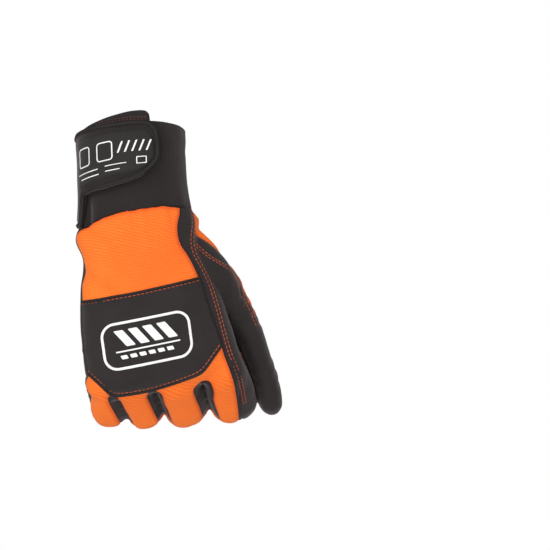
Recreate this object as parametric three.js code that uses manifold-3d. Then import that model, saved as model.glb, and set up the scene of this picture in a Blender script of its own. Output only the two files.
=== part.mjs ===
// Chainsaw glove for the right hand, in the form that a hand gives it: fingers curled round a handle.
// Millimetres, +Z up. The origin is the centre of the cuff's mouth. The cuff and the hand hang down
// from it along -Z, the back of the hand faces -Y, the palm +Y, and the thumb is on the +X side.
import * as THREE from 'three';
import { mergeVertices } from 'three/addons/utils/BufferGeometryUtils.js';
import Module from 'manifold-3d';

const wasm = await Module();
wasm.setup();

// Sizes of the cuff and what closes it
const CUFF_LENGTH = 60;
const CUFF_HALF_WIDTH = 36.6;
const CUFF_HALF_DEPTH = 33;
const CUFF_WALL = 2.6;
const SEAM_TILT_DEG = 5.5;
const FLAP_WALL = 2;
const FLAP_RISE = 7;
const STRAP_WALL = 2.4;
const STRAP_HEIGHT = 41;
const STRAP_DROP = 1.5;
const LABEL_WALL = 0.8;
const LABEL_MARGIN = 6;

// Sizes of the hand
const HAND_LENGTH = 120;
const HAND_HALF_BREADTH = 54;
const HAND_HALF_DEPTH = 22;
const GLOVE_WALL = 2.4;
const WRIST_BEND_DEG = 15;
const WRIST_TURN_DEG = 2;
const WRIST_BEND_LENGTH = 28;

// Sizes of the thumb
const THUMB_REACH = 158;
const THUMB_HALF_WIDTH = 18;
const THUMB_HALF_DEPTH = 19;

// Sizes of the longest finger
const FINGER_LENGTH = 106;
const FINGER_HALF_WIDTH = 14.8;
const FINGER_HALF_DEPTH = 13.8;

// Sizes of what is sewn on
const PATCH_WALL = 3.2;
const GRIP_WALL = 1.2;
const SEAM_GAP = 0.3;
const LAYER_GAP = 0.45;

// Facets: sides of each closed section and steps in each bend, and the millimetres between the
// frames of a middle line
const OUTER_FACETS = { hand: 18, finger: 10, bend: 2 };
const LINING_FACETS = { hand: 14, finger: 7, bend: 2 };
const CUFF_SIDES = 22;
const SPINE_STEP = 1;

// What reaches past the piece that it cuts: the whole hand, and one finger's bends
const BEYOND = 80;
const OUTSIDE = 10;

// The hand's sections, from the wrist seam to past the finger crotches. The place is a share of
// HAND_LENGTH, the sides a share of HAND_HALF_BREADTH, back and palm a share of HAND_HALF_DEPTH.
const HAND_SECTIONS = [
  { place: 0.00, thumbSide: 0.72, littleSide: 0.76, back: 1.24, palm: 1.22 },
  { place: 0.05, thumbSide: 0.75, littleSide: 0.80, back: 1.24, palm: 1.20 },
  { place: 0.17, thumbSide: 0.71, littleSide: 0.75, back: 1.12, palm: 1.10 },
  { place: 0.34, thumbSide: 0.79, littleSide: 0.82, back: 1.03, palm: 1.10 },
  { place: 0.60, thumbSide: 0.88, littleSide: 0.90, back: 0.99, palm: 1.12 },
  { place: 0.83, thumbSide: 0.94, littleSide: 0.98, back: 0.93, palm: 0.98 },
  { place: 0.94, thumbSide: 0.94, littleSide: 0.98, back: 0.76, palm: 0.78 },
  { place: 1.01, thumbSide: 0.76, littleSide: 0.84, back: 0.34, palm: 0.38 },
];
const HAND_POWER = 2.5;
const FINGER_POWER = 2.2;

// The seam between the orange back and the black strip beside the index finger: places and distances
// from the hand's middle line, as shares like those above.
const INDEX_SEAM = [
  { place: -0.05, across: 0.61 },
  { place: 0.08, across: 0.54 },
  { place: 0.28, across: 0.62 },
  { place: 0.40, across: 0.68 },
  { place: 0.66, across: 0.77 },
  { place: 0.84, across: 0.80 },
  { place: 1.02, across: 0.87 },
];

// The thumb's sections across the hand's length: place as a share of THUMB_REACH, the centre as
// shares of HAND_HALF_BREADTH and HAND_HALF_DEPTH, width and depth as shares of the thumb's own.
const THUMB_SECTIONS = [
  { place: 0.04, across: 0.42, palmward: 0.10, width: 1.08, depth: 1.00 },
  { place: 0.16, across: 0.39, palmward: 0.35, width: 1.08, depth: 1.02 },
  { place: 0.24, across: 0.56, palmward: 0.55, width: 1.10, depth: 1.04 },
  { place: 0.30, across: 0.74, palmward: 0.72, width: 1.08, depth: 1.03 },
  { place: 0.44, across: 0.94, palmward: 0.98, width: 0.89, depth: 0.96 },
  { place: 0.58, across: 1.13, palmward: 1.18, width: 0.62, depth: 0.88 },
  { place: 0.72, across: 1.215, palmward: 1.26, width: 0.53, depth: 0.84 },
  { place: 0.86, across: 1.25, palmward: 1.28, width: 0.53, depth: 0.80 },
  { place: 0.94, across: 1.26, palmward: 1.29, width: 0.48, depth: 0.68 },
  { place: 0.98, across: 1.26, palmward: 1.30, width: 0.36, depth: 0.46 },
  { place: 1.00, across: 1.26, palmward: 1.30, width: 0.16, depth: 0.18 },
];

// The fingers. The base is given as shares of the hand's sizes; bones, width and depth as shares of
// the longest finger's sizes; the bends at the three joints and the lean towards the thumb in
// degrees. The strip is how far the back's fabric reaches to each side, as shares of the half width.
const FINGERS = [
  { name: 'index', across: 0.735, place: 0.90, palmward: -0.10, bones: [0.500, 0.245, 0.217],
    width: 1, depth: 0.971, bends: [44, 72, 38], lean: 5, strip: [0.70, 0.42] },
  { name: 'middle', across: 0.17, place: 0.89, palmward: -0.14, bones: [0.510, 0.264, 0.226],
    width: 1, depth: 1, bends: [48, 70, 40], lean: 5, strip: [0.78, 0.78] },
  { name: 'ring', across: -0.385, place: 0.86, palmward: -0.12, bones: [0.491, 0.255, 0.226],
    width: 0.905, depth: 0.957, bends: [48, 72, 40], lean: 7, strip: [0.76, 0.76] },
  { name: 'little', across: -0.88, place: 0.85, palmward: -0.05, bones: [0.425, 0.217, 0.198],
    width: 0.811, depth: 0.884, bends: [47, 72, 38], lean: 9, strip: [1.05, 0.72] },
];
const FINGER_TAPER = 0.92;
const CAP_START_SHARE = 0.12;
const FRONT_START_SHARE = 0.12;
const BACK_END_SHARE = 0.93;
const STRIP_LAP = 12;
const SIDE_REACH = 1.6;

const MATERIALS = {
  orange_fabric: new THREE.MeshStandardMaterial({ color: 0xff6a1e, roughness: 0.85 }),
  black_fabric: new THREE.MeshStandardMaterial({ color: 0x2a2627, roughness: 0.9 }),
  black_leather: new THREE.MeshStandardMaterial({ color: 0x232122, roughness: 0.75 }),
  grip_leather: new THREE.MeshStandardMaterial({ color: 0x1e1e20, roughness: 0.6 }),
  cuff_fabric: new THREE.MeshStandardMaterial({ color: 0x2c2829, roughness: 0.9 }),
  label_print: new THREE.MeshStandardMaterial({ color: 0x242223, roughness: 0.7 }),
};

// Interpolates a table of rows by its place column.
function sampled(rows, key, place) {
  if (place <= rows[0].place) return rows[0][key];
  for (let i = 1; i < rows.length; i += 1) {
    const [from, to] = [rows[i - 1], rows[i]];
    if (place <= to.place) {
      const share = (place - from.place) / (to.place - from.place);
      return THREE.MathUtils.lerp(from[key], to[key], share);
    }
  }
  return rows[rows.length - 1][key];
}

// A closed solid through rings of points that all have the same count.
function loft(rings) {
  const sides = rings[0].length;
  const positions = [];
  const indices = [];
  rings.forEach((ring) => ring.forEach((p) => positions.push(p.x, p.y, p.z)));
  for (let r = 0; r + 1 < rings.length; r += 1) {
    for (let i = 0; i < sides; i += 1) {
      const a = r * sides + i;
      const b = r * sides + ((i + 1) % sides);
      indices.push(a, b, b + sides, a, b + sides, a + sides);
    }
  }
  [[0, rings[0]], [rings.length - 1, rings[rings.length - 1]]].forEach(([r, ring], end) => {
    const middle = ring.reduce((sum, p) => sum.add(p), new THREE.Vector3()).divideScalar(sides);
    const centre = positions.length / 3;
    positions.push(middle.x, middle.y, middle.z);
    for (let i = 0; i < sides; i += 1) {
      const a = r * sides + i;
      const b = r * sides + ((i + 1) % sides);
      if (end === 0) indices.push(centre, b, a);
      else indices.push(centre, a, b);
    }
  });
  const geometry = new THREE.BufferGeometry();
  geometry.setAttribute('position', new THREE.Float32BufferAttribute(positions, 3));
  geometry.setIndex(indices);
  return toSolid(geometry);
}

// A geometry as a solid that can be joined and cut.
function toSolid(geometry) {
  const bare = geometry.clone();
  bare.deleteAttribute('normal');
  bare.deleteAttribute('uv');
  const merged = mergeVertices(bare, 1e-4);
  const vertProperties = new Float32Array(merged.attributes.position.array);
  const triVerts = new Uint32Array(merged.index.array);
  const made = new wasm.Manifold(new wasm.Mesh({ numProp: 3, vertProperties, triVerts }));
  if (made.volume() > 0) return made;
  for (let i = 0; i < triVerts.length; i += 3) {
    [triVerts[i + 1], triVerts[i + 2]] = [triVerts[i + 2], triVerts[i + 1]];
  }
  return new wasm.Manifold(new wasm.Mesh({ numProp: 3, vertProperties, triVerts }));
}

function join(solids) {
  return solids.reduce((sum, solid) => sum.add(solid));
}

// The largest connected body of a solid, without the slivers that a cut leaves.
function mainBody(solid) {
  return solid.decompose().reduce((best, body) => (body.volume() > best.volume() ? body : best));
}

function toMesh(name, solid, material) {
  const { vertProperties, triVerts } = mainBody(solid).getMesh();
  const geometry = new THREE.BufferGeometry();
  geometry.setAttribute('position', new THREE.Float32BufferAttribute(vertProperties, 3));
  geometry.setIndex(Array.from(triVerts));
  geometry.computeVertexNormals();
  const mesh = new THREE.Mesh(geometry, material);
  mesh.name = name;
  return mesh;
}

// A frame on a spine: its origin, the way along, the way across and the way towards the palm.
function frameOf(origin, along, across) {
  return { origin, along, across, palm: new THREE.Vector3().crossVectors(across, along) };
}

// A curved middle line. Each bend turns it towards the palm, and each turn towards the thumb, from
// place `at` over the length `over`.
function makeSpine(start, length, bends, turns = []) {
  const frames = [start];
  const shareDone = ({ at, over }, s) => THREE.MathUtils.smoothstep(s, at, at + over);
  const angle = (list, s) => list.reduce((sum, b) => sum + b.degrees * shareDone(b, s), 0);
  const count = Math.ceil(length / SPINE_STEP);
  for (let i = 1; i <= count; i += 1) {
    const last = frames[i - 1];
    const [from, to] = [(i - 1) * SPINE_STEP, i * SPINE_STEP];
    const bend = THREE.MathUtils.degToRad(angle(bends, to) - angle(bends, from));
    const turn = THREE.MathUtils.degToRad(angle(turns, to) - angle(turns, from));
    const along = last.along.clone().applyAxisAngle(last.across, bend).applyAxisAngle(last.palm, -turn);
    const across = last.across.clone().applyAxisAngle(last.palm, -turn);
    frames.push(frameOf(last.origin.clone().addScaledVector(along, SPINE_STEP), along, across));
  }
  return {
    length,
    at(s) {
      const i = THREE.MathUtils.clamp(Math.floor(s / SPINE_STEP), 0, count);
      const { origin, along, across } = frames[i];
      return frameOf(origin.clone().addScaledVector(along, s - i * SPINE_STEP), along, across);
    },
  };
}

function pointIn(frame, across, palmward) {
  return frame.origin.clone().addScaledVector(frame.across, across).addScaledVector(frame.palm, palmward);
}

// A rounded section whose four half sizes can differ.
function sectionRing(frame, { right, left, back, palm }, sides, power = 2) {
  const ring = [];
  for (let i = 0; i < sides; i += 1) {
    const turn = (i / sides) * 2 * Math.PI;
    const [c, s] = [Math.cos(turn), Math.sin(turn)];
    const reach = (v) => Math.sign(v) * Math.abs(v) ** (2 / power);
    ring.push(pointIn(frame, reach(c) * (c > 0 ? right : left), reach(s) * (s > 0 ? palm : back)));
  }
  return ring;
}

// A region that follows a spine, for cutting: a row gives its place and its four limits.
function regionAlong(spine, rows, grow = 0) {
  const last = rows.length - 1;
  return loft(rows.map((row, i) => {
    const frame = spine.at(row.at + (i === 0 ? -grow : 0) + (i === last ? grow : 0));
    const [x0, x1] = [row.acrossMin - grow, row.acrossMax + grow];
    const [y0, y1] = [row.palmMin - grow, row.palmMax + grow];
    return [pointIn(frame, x0, y0), pointIn(frame, x1, y0), pointIn(frame, x1, y1), pointIn(frame, x0, y1)];
  }));
}

// The hand's spine, in the frame of the wrist seam's centre
const tilt = THREE.MathUtils.degToRad(SEAM_TILT_DEG);
const wrist = frameOf(
  new THREE.Vector3(),
  new THREE.Vector3(Math.sin(tilt), 0, -Math.cos(tilt)),
  new THREE.Vector3(Math.cos(tilt), 0, Math.sin(tilt)),
);
const handSpine = makeSpine(
  wrist,
  THUMB_REACH,
  [{ at: 0, over: WRIST_BEND_LENGTH, degrees: WRIST_BEND_DEG }],
  [{ at: 0, over: WRIST_BEND_LENGTH, degrees: WRIST_TURN_DEG }],
);

// The palm and the back of the hand, grown by an offset on every side
function handLoft(offset, start, facets) {
  const rows = HAND_SECTIONS.map((row) => ({ ...row, at: row.place * HAND_LENGTH }));
  rows[0].at = start;
  return loft(rows.map((row, i) => {
    const end = i === rows.length - 1 ? offset : 0;
    return sectionRing(handSpine.at(row.at + end), {
      right: row.thumbSide * HAND_HALF_BREADTH + offset,
      left: row.littleSide * HAND_HALF_BREADTH + offset,
      back: row.back * HAND_HALF_DEPTH + offset,
      palm: row.palm * HAND_HALF_DEPTH + offset,
    }, facets.hand, HAND_POWER);
  }));
}

// The thumb lies along the hand, so its sections are taken across the hand's own spine.
function thumbRow(row) {
  return {
    frame: handSpine.at(row.place * THUMB_REACH),
    across: row.across * HAND_HALF_BREADTH,
    palmward: row.palmward * HAND_HALF_DEPTH,
    halfWidth: row.width * THUMB_HALF_WIDTH,
    halfDepth: row.depth * THUMB_HALF_DEPTH,
  };
}

function thumbLoft(offset, facets = OUTER_FACETS) {
  return loft(THUMB_SECTIONS.map((row, i) => {
    const { frame, across, palmward, halfWidth, halfDepth } = thumbRow(row);
    const end = i === THUMB_SECTIONS.length - 1 ? offset : 0;
    const centred = frameOf(pointIn(frame, across, palmward), frame.along, frame.across);
    centred.origin.addScaledVector(frame.along, end);
    const [width, depth] = [halfWidth + offset, halfDepth + offset].map((v) => Math.max(v, 0.6));
    const sides = { right: width, left: width, back: depth, palm: depth };
    return sectionRing(centred, sides, facets.finger, FINGER_POWER);
  }));
}

// Each finger has a spine of its own that starts inside the hand.
function makeFinger(row) {
  const frame = handSpine.at(row.place * HAND_LENGTH);
  const origin = pointIn(frame, row.across * HAND_HALF_BREADTH, row.palmward * HAND_HALF_DEPTH);
  const lean = THREE.MathUtils.degToRad(row.lean);
  const along = frame.along.clone().applyAxisAngle(frame.palm, -lean);
  const across = frame.across.clone().applyAxisAngle(frame.palm, -lean);
  const [proximal, middle, distal] = row.bones.map((share) => share * FINGER_LENGTH);
  const [halfWidth, halfDepth] = [row.width * FINGER_HALF_WIDTH, row.depth * FINGER_HALF_DEPTH];
  const joints = [0, proximal, proximal + middle];
  const rounds = [1.5, 1.5, 1.1].map((share) => share * halfDepth);
  const bends = row.bends.map((degrees, i) => (
    { at: Math.max(0, joints[i] - rounds[i] / 2), over: rounds[i], degrees }
  ));
  const length = proximal + middle + distal;
  const spine = makeSpine(frameOf(origin, along, across), length, bends);
  const size = (s) => THREE.MathUtils.lerp(1, FINGER_TAPER, s / length);
  const capStart = proximal + CAP_START_SHARE * middle;
  return { ...row, spine, length, halfWidth, halfDepth, bends, size, capStart };
}

// Where a finger's sections lie: its straight parts need none between their ends.
function fingerPlaces({ bends }, steps) {
  return bends.flatMap(({ at, over }) => (
    Array.from({ length: steps + 1 }, (_, i) => at + (i / steps) * over)
  ));
}

const fingers = FINGERS.map(makeFinger);

function fingerLoft(finger, offset, facets) {
  const { spine, length, size, halfWidth, halfDepth } = finger;
  const dome = halfDepth * FINGER_TAPER;
  const straight = length - dome;
  const places = fingerPlaces(finger, facets.bend).filter((at) => at < straight);
  const rows = [...places, straight].map((at) => ({ at, share: 1 }));
  [40, 72].forEach((degrees) => {
    const turn = THREE.MathUtils.degToRad(degrees);
    rows.push({ at: straight + Math.sin(turn) * (dome + offset), share: Math.cos(turn) });
  });
  return loft(rows.map(({ at, share }) => {
    const width = (halfWidth * size(at) + offset) * share;
    const depth = (halfDepth * size(at) + offset) * share;
    const sides = { right: width, left: width, back: depth, palm: depth };
    return sectionRing(spine.at(at), sides, facets.finger, FINGER_POWER);
  }));
}

// The whole glove below the wrist seam, grown by an offset
function gloveSolid(offset, start = SEAM_GAP, facets = OUTER_FACETS) {
  return join([
    handLoft(offset, start, facets),
    thumbLoft(offset, facets),
    ...fingers.map((finger) => fingerLoft(finger, offset, facets)),
  ]);
}

const outside = gloveSolid(0);
const skin = outside.subtract(gloveSolid(-GLOVE_WALL, -GLOVE_WALL, LINING_FACETS));

// Regions that share the skin out among its panels
function seamAcross(place) {
  return sampled(INDEX_SEAM, 'across', place) * HAND_HALF_BREADTH;
}

const BACK_SEAM_DEPTH = -0.05 * HAND_HALF_DEPTH;
const STRIP_SEAM_DEPTH = 0.2 * HAND_HALF_DEPTH;
const THUMB_SEAM = [
  { place: 0.26, across: 0.78 },
  { place: 0.42, across: 0.86 },
  { place: 0.60, across: 0.90 },
  { place: 0.76, across: 0.93 },
  { place: 1.10, across: 0.97 },
  { place: 1.30, across: 0.97 },
];

function backRegion(grow) {
  const places = INDEX_SEAM.map((row) => row.place).filter((place) => place < BACK_END_SHARE);
  const rows = [...places, BACK_END_SHARE].map((place) => ({
    at: place * HAND_LENGTH,
    acrossMin: -BEYOND,
    acrossMax: seamAcross(place),
    palmMin: -BEYOND,
    palmMax: BACK_SEAM_DEPTH,
  }));
  return regionAlong(handSpine, rows, grow);
}

// A region along a finger, with the same four limits all the way
function fingerRegion(finger, from, to, limits, grow) {
  const between = fingerPlaces(finger, 1).filter((at) => at > from + 1 && at < to - 1);
  return regionAlong(finger.spine, [from, ...between, to].map((at) => ({ at, ...limits })), grow);
}

function stripRegion(finger, grow) {
  const { halfWidth, halfDepth, strip, capStart } = finger;
  return fingerRegion(finger, 2, capStart, {
    acrossMin: -strip[0] * halfWidth,
    acrossMax: strip[1] * halfWidth,
    palmMin: -halfDepth - OUTSIDE,
    palmMax: -0.2 * halfDepth,
  }, grow);
}

function capRegion(finger, grow) {
  const { halfWidth, halfDepth, strip, capStart, length } = finger;
  return fingerRegion(finger, capStart + SEAM_GAP, length + OUTSIDE, {
    acrossMin: -strip[0] * halfWidth,
    acrossMax: strip[1] * halfWidth,
    palmMin: -halfDepth - OUTSIDE,
    palmMax: -0.1 * halfDepth,
  }, grow);
}

// One side of a finger: 1 is towards the thumb and -1 towards the little finger.
function sideRegion(finger, side, from, grow) {
  const { halfWidth, halfDepth, strip, length } = finger;
  const inner = side * (strip[side > 0 ? 1 : 0] * halfWidth + SEAM_GAP);
  const outer = side * (halfWidth + SIDE_REACH);
  return fingerRegion(finger, from, length + OUTSIDE, {
    acrossMin: Math.min(inner, outer),
    acrossMax: Math.max(inner, outer),
    palmMin: -halfDepth - OUTSIDE,
    palmMax: 0.55 * halfDepth,
  }, grow);
}

// The palm side of a finger, from past its crotch to beyond its tip
function frontRegion({ spine, length, halfWidth }, grow) {
  const { origin, along, across } = spine.at(FRONT_START_SHARE * length);
  const reach = halfWidth + SIDE_REACH + grow;
  return loft([-grow, length].map((far) => {
    const frame = frameOf(origin.clone().addScaledVector(along, far), along, across);
    return [
      pointIn(frame, -reach, -BEYOND),
      pointIn(frame, reach, -BEYOND),
      pointIn(frame, reach, BEYOND),
      pointIn(frame, -reach, BEYOND),
    ];
  }));
}

function indexStripRegion(grow) {
  const rows = INDEX_SEAM.map(({ place }) => ({
    at: place * HAND_LENGTH,
    acrossMin: seamAcross(place) + SEAM_GAP,
    acrossMax: BEYOND,
    palmMin: -BEYOND,
    palmMax: STRIP_SEAM_DEPTH,
  })).filter((row) => row.at < HAND_LENGTH * 0.95);
  return regionAlong(handSpine, rows, grow).add(sideRegion(fingers[0], 1, -STRIP_LAP, grow));
}

function thumbBackRegion(grow) {
  const rows = THUMB_SECTIONS.filter((row) => row.place < 0.6).map((row) => {
    const { across, palmward, halfWidth, halfDepth } = thumbRow(row);
    return {
      at: row.place * THUMB_REACH,
      acrossMin: across + 0.62 * halfWidth,
      acrossMax: across + BEYOND,
      palmMin: palmward - 0.72 * halfDepth,
      palmMax: palmward + 0.7 * halfDepth,
    };
  });
  rows[0].at = -SEAM_GAP;
  return regionAlong(handSpine, rows, grow);
}

function thumbRegion(grow) {
  const rows = THUMB_SEAM.map(({ place, across }) => ({
    at: place * HAND_LENGTH,
    acrossMin: across * HAND_HALF_BREADTH,
    acrossMax: BEYOND * 1.5,
    palmMin: -BEYOND,
    palmMax: BEYOND,
  }));
  return regionAlong(handSpine, rows, grow).intersect(thumbLoft(grow + 1.5));
}

// Takes each panel out of the skin in turn, with a small gap round it. What is left is the palm.
const glove = new THREE.Group();
glove.position.z = -CUFF_LENGTH;
let rest = skin;

function sewPanel(name, material, region) {
  glove.add(toMesh(name, rest.intersect(region(0)), material));
  rest = rest.subtract(region(SEAM_GAP));
}

sewPanel('thumb_back_panel', MATERIALS.orange_fabric, thumbBackRegion);
sewPanel('back_panel', MATERIALS.orange_fabric, backRegion);
fingers.forEach((finger) => {
  sewPanel(`${finger.name}_back`, MATERIALS.orange_fabric, (grow) => stripRegion(finger, grow));
});
fingers.forEach((finger) => {
  sewPanel(`${finger.name}_tip_cap`, MATERIALS.black_leather, (grow) => capRegion(finger, grow));
});
sewPanel('thumb_panel', MATERIALS.black_fabric, thumbRegion);
sewPanel('index_side_strip', MATERIALS.black_fabric, indexStripRegion);
for (let i = 0; i + 1 < fingers.length; i += 1) {
  const [near, far] = [fingers[i], fingers[i + 1]];
  sewPanel(`${near.name}_${far.name}_gusset`, MATERIALS.black_fabric, (grow) => (
    sideRegion(near, -1, 4, grow).add(sideRegion(far, 1, 4, grow))
  ));
}
fingers.forEach((finger) => {
  sewPanel(`${finger.name}_front`, MATERIALS.black_leather, (grow) => frontRegion(finger, grow));
});
glove.add(toMesh('palm_panel', rest, MATERIALS.black_leather));

// What is sewn on top: a layer of the glove's own form, cut to an outline in the plane of the hand
function layer(inner, thickness) {
  return gloveSolid(inner + thickness).subtract(gloveSolid(inner));
}

function outlinePrism(points, from, to) {
  const frame = handSpine.at(WRIST_BEND_LENGTH);
  const shape = new THREE.Shape(points.map(({ across, place }) => new THREE.Vector2(
    across * HAND_HALF_BREADTH,
    place * HAND_LENGTH - WRIST_BEND_LENGTH,
  )));
  const geometry = new THREE.ExtrudeGeometry(shape, { depth: to - from, bevelEnabled: false });
  geometry.translate(0, 0, from);
  geometry.applyMatrix4(new THREE.Matrix4().makeBasis(frame.across, frame.along, frame.palm));
  geometry.translate(frame.origin.x, frame.origin.y, frame.origin.z);
  return toSolid(geometry);
}

const PATCH_OUTLINE = [
  { across: -1.12, place: 0.400 },
  { across: 0.665, place: 0.400 },
  { across: 0.755, place: 0.66 },
  { across: 0.785, place: 0.84 },
  { across: 0.690, place: 0.89 },
  { across: 0.490, place: 0.955 },
  { across: -0.720, place: 0.955 },
  { across: -0.860, place: 0.905 },
  { across: -0.990, place: 0.81 },
  { across: -1.12, place: 0.79 },
];
const patch = layer(LAYER_GAP, PATCH_WALL)
  .intersect(outlinePrism(PATCH_OUTLINE, -BEYOND, -0.3 * HAND_HALF_DEPTH));
glove.add(toMesh('back_patch', patch, MATERIALS.black_fabric));

// The two grip pieces on the palm meet along a slanting seam.
const GRIP_SEAM = [
  { across: -0.43, place: 0.18 },
  { across: -0.20, place: 0.42 },
  { across: 0.02, place: 0.60 },
  { across: 0.22, place: 0.76 },
  { across: 0.40, place: 0.94 },
];
const HEEL_OUTLINE = [
  ...GRIP_SEAM.map(({ across, place }) => ({ across: across - 0.01, place })),
  { across: -0.90, place: 0.94 },
  { across: -0.93, place: 0.70 },
  { across: -0.86, place: 0.42 },
  { across: -0.70, place: 0.26 },
];
const THENAR_OUTLINE = [
  ...GRIP_SEAM.map(({ across, place }) => ({ across: across + 0.01, place })),
  { across: 0.80, place: 0.94 },
  { across: 0.82, place: 0.62 },
  { across: 0.80, place: 0.34 },
  { across: 0.40, place: 0.16 },
  { across: 0.00, place: 0.13 },
];
const gripLayer = layer(LAYER_GAP, GRIP_WALL);
const palmFace = [0.2 * HAND_HALF_DEPTH, 2.1 * HAND_HALF_DEPTH];
[['heel_grip', HEEL_OUTLINE], ['thenar_grip', THENAR_OUTLINE]].forEach(([name, outline]) => {
  const piece = gripLayer.intersect(outlinePrism(outline, ...palmFace));
  glove.add(toMesh(name, piece, MATERIALS.grip_leather));
});

// The thumb's grip wraps the side that meets the fingers.
const THUMB_GRIP_PLACES = [0.60, 0.70, 0.80, 0.90];
const thumbGripRows = THUMB_GRIP_PLACES.map((place) => {
  const at = (key) => sampled(THUMB_SECTIONS, key, place);
  const centre = at('palmward') * HAND_HALF_DEPTH;
  const halfDepth = at('depth') * THUMB_HALF_DEPTH;
  return {
    at: place * THUMB_REACH,
    acrossMin: -BEYOND,
    acrossMax: at('across') * HAND_HALF_BREADTH - 0.1 * THUMB_HALF_WIDTH,
    palmMin: centre - 0.55 * halfDepth,
    palmMax: centre + 0.75 * halfDepth,
  };
});
const thumbSkin = thumbLoft(LAYER_GAP + GRIP_WALL).subtract(thumbLoft(LAYER_GAP));
const thumbGrip = thumbSkin.intersect(regionAlong(handSpine, thumbGripRows));
glove.add(toMesh('thumb_grip', thumbGrip, MATERIALS.grip_leather));

// The cuff's form: shares of its half sizes from the mouth to the wrist seam
const CUFF_SECTIONS = [
  { place: 0.00, width: 1.00, depth: 1.00 },
  { place: 0.45, width: 0.99, depth: 0.90 },
  { place: 0.75, width: 1.01, depth: 0.84 },
  { place: 1.00, width: 1.04, depth: 0.82 },
];

// A point on the cuff or outside it: turn 0 faces the front, and it grows towards the little finger.
function aroundCuff(turnDeg, place, out) {
  const turn = THREE.MathUtils.degToRad(turnDeg);
  const a = sampled(CUFF_SECTIONS, 'width', place) * CUFF_HALF_WIDTH;
  const b = sampled(CUFF_SECTIONS, 'depth', place) * CUFF_HALF_DEPTH;
  const normal = new THREE.Vector2(-Math.sin(turn) / a, -Math.cos(turn) / b).normalize();
  const x = -Math.sin(turn) * a + normal.x * out;
  const y = -Math.cos(turn) * b + normal.y * out;
  return new THREE.Vector3(x, y, place * (x * Math.tan(tilt) - CUFF_LENGTH));
}

function cuffLoft(out, above, below) {
  const places = CUFF_SECTIONS.map(({ place }) => place);
  if (above > 0) places.unshift(-above / CUFF_LENGTH);
  if (below > 0) places.push(1 + below / CUFF_LENGTH);
  return loft(places.map((place) => Array.from(
    { length: CUFF_SIDES },
    (_, i) => aroundCuff((i / CUFF_SIDES) * 360, place, out),
  )));
}

const cuff = cuffLoft(0, 0, 0).subtract(cuffLoft(-CUFF_WALL, CUFF_WALL, CUFF_WALL));

// A band round part of the cuff, cut from a layer of its form. Each row gives its turn, and the
// places of its two edges as shares of the cuff's length.
function cuffBand(rows, out, wall) {
  const above = 2 * FLAP_RISE;
  const band = cuffLoft(out + wall, above, 0).subtract(cuffLoft(out, above + 1, 1));
  return band.intersect(loft(rows.map(({ turn, top, bottom }) => [
    aroundCuff(turn, bottom, out - CUFF_WALL),
    aroundCuff(turn, top, out - CUFF_WALL),
    aroundCuff(turn, top, out + 3 * CUFF_WALL),
    aroundCuff(turn, bottom, out + 3 * CUFF_WALL),
  ])));
}

// The flap overlaps the cuff from the little finger's side. Its front tongue lies under the strap.
const rise = -FLAP_RISE / CUFF_LENGTH;
const FLAP_ROWS = [
  { turn: -16, top: 0.80 * rise, bottom: 0.28 },
  { turn: -13, top: rise, bottom: 0.45 },
  { turn: 0, top: 0.92 * rise, bottom: 0.50 },
  { turn: 20, top: 0.66 * rise, bottom: 0.50 },
  { turn: 40, top: 0.40 * rise, bottom: 0.50 },
  { turn: 60, top: 0.20 * rise, bottom: 0.55 },
  { turn: 69, top: 0.12 * rise, bottom: 0.88 },
  { turn: 76, top: 0.10 * rise, bottom: 0.98 },
  { turn: 95, top: 0, bottom: 0.98 },
  { turn: 115, top: 0, bottom: 0.98 },
  { turn: 135, top: 0, bottom: 0.98 },
];
const flap = cuffBand(FLAP_ROWS, SEAM_GAP, FLAP_WALL);

// The strap has a rounded front end. Each row gives the share of its height that is cut off above
// and below.
const STRAP_ENDS = [
  { turn: -26, above: 0.33, below: 0.40 },
  { turn: -24, above: 0.20, below: 0.28 },
  { turn: -20, above: 0.09, below: 0.16 },
  { turn: -13, above: 0.02, below: 0.06 },
  { turn: -5, above: 0, below: 0.01 },
];
const STRAP_TURNS = [30, 70, 110, 150, 195];
const strapOut = SEAM_GAP + FLAP_WALL + SEAM_GAP;

function strapRows(ends, turns, drop, height) {
  const level = turns.map((turn) => ({ turn, above: 0, below: 0 }));
  return [...ends, ...level].map(({ turn, above, below }) => ({
    turn,
    top: (drop + above * height) / CUFF_LENGTH,
    bottom: (drop + (1 - below) * height) / CUFF_LENGTH,
  }));
}

const strap = cuffBand(strapRows(STRAP_ENDS, STRAP_TURNS, STRAP_DROP, STRAP_HEIGHT), strapOut, STRAP_WALL);

// The label is a thin field on the strap's front, a margin inside its edge.
const LABEL_ENDS = [
  { turn: -19, above: 0.22, below: 0.34 },
  { turn: -16, above: 0.08, below: 0.18 },
  { turn: -10, above: 0.01, below: 0.05 },
  { turn: -3, above: 0, below: 0 },
];
const LABEL_TURNS = [30, 68];
const labelRows = strapRows(
  LABEL_ENDS,
  LABEL_TURNS,
  STRAP_DROP + LABEL_MARGIN,
  STRAP_HEIGHT - 2 * LABEL_MARGIN,
);
const label = cuffBand(labelRows, strapOut + STRAP_WALL + SEAM_GAP, LABEL_WALL);

const cuffGroup = new THREE.Group();
cuffGroup.add(toMesh('cuff', cuff, MATERIALS.cuff_fabric));
cuffGroup.add(toMesh('cuff_flap', flap, MATERIALS.cuff_fabric));
cuffGroup.add(toMesh('wrist_strap', strap, MATERIALS.cuff_fabric));
cuffGroup.add(toMesh('strap_label', label, MATERIALS.label_print));

const part = new THREE.Group();
part.add(cuffGroup, glove);

export default part;
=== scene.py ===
import math

import bpy
import numpy as np
from mathutils import Matrix, Vector
from mathutils.kdtree import KDTree


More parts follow.
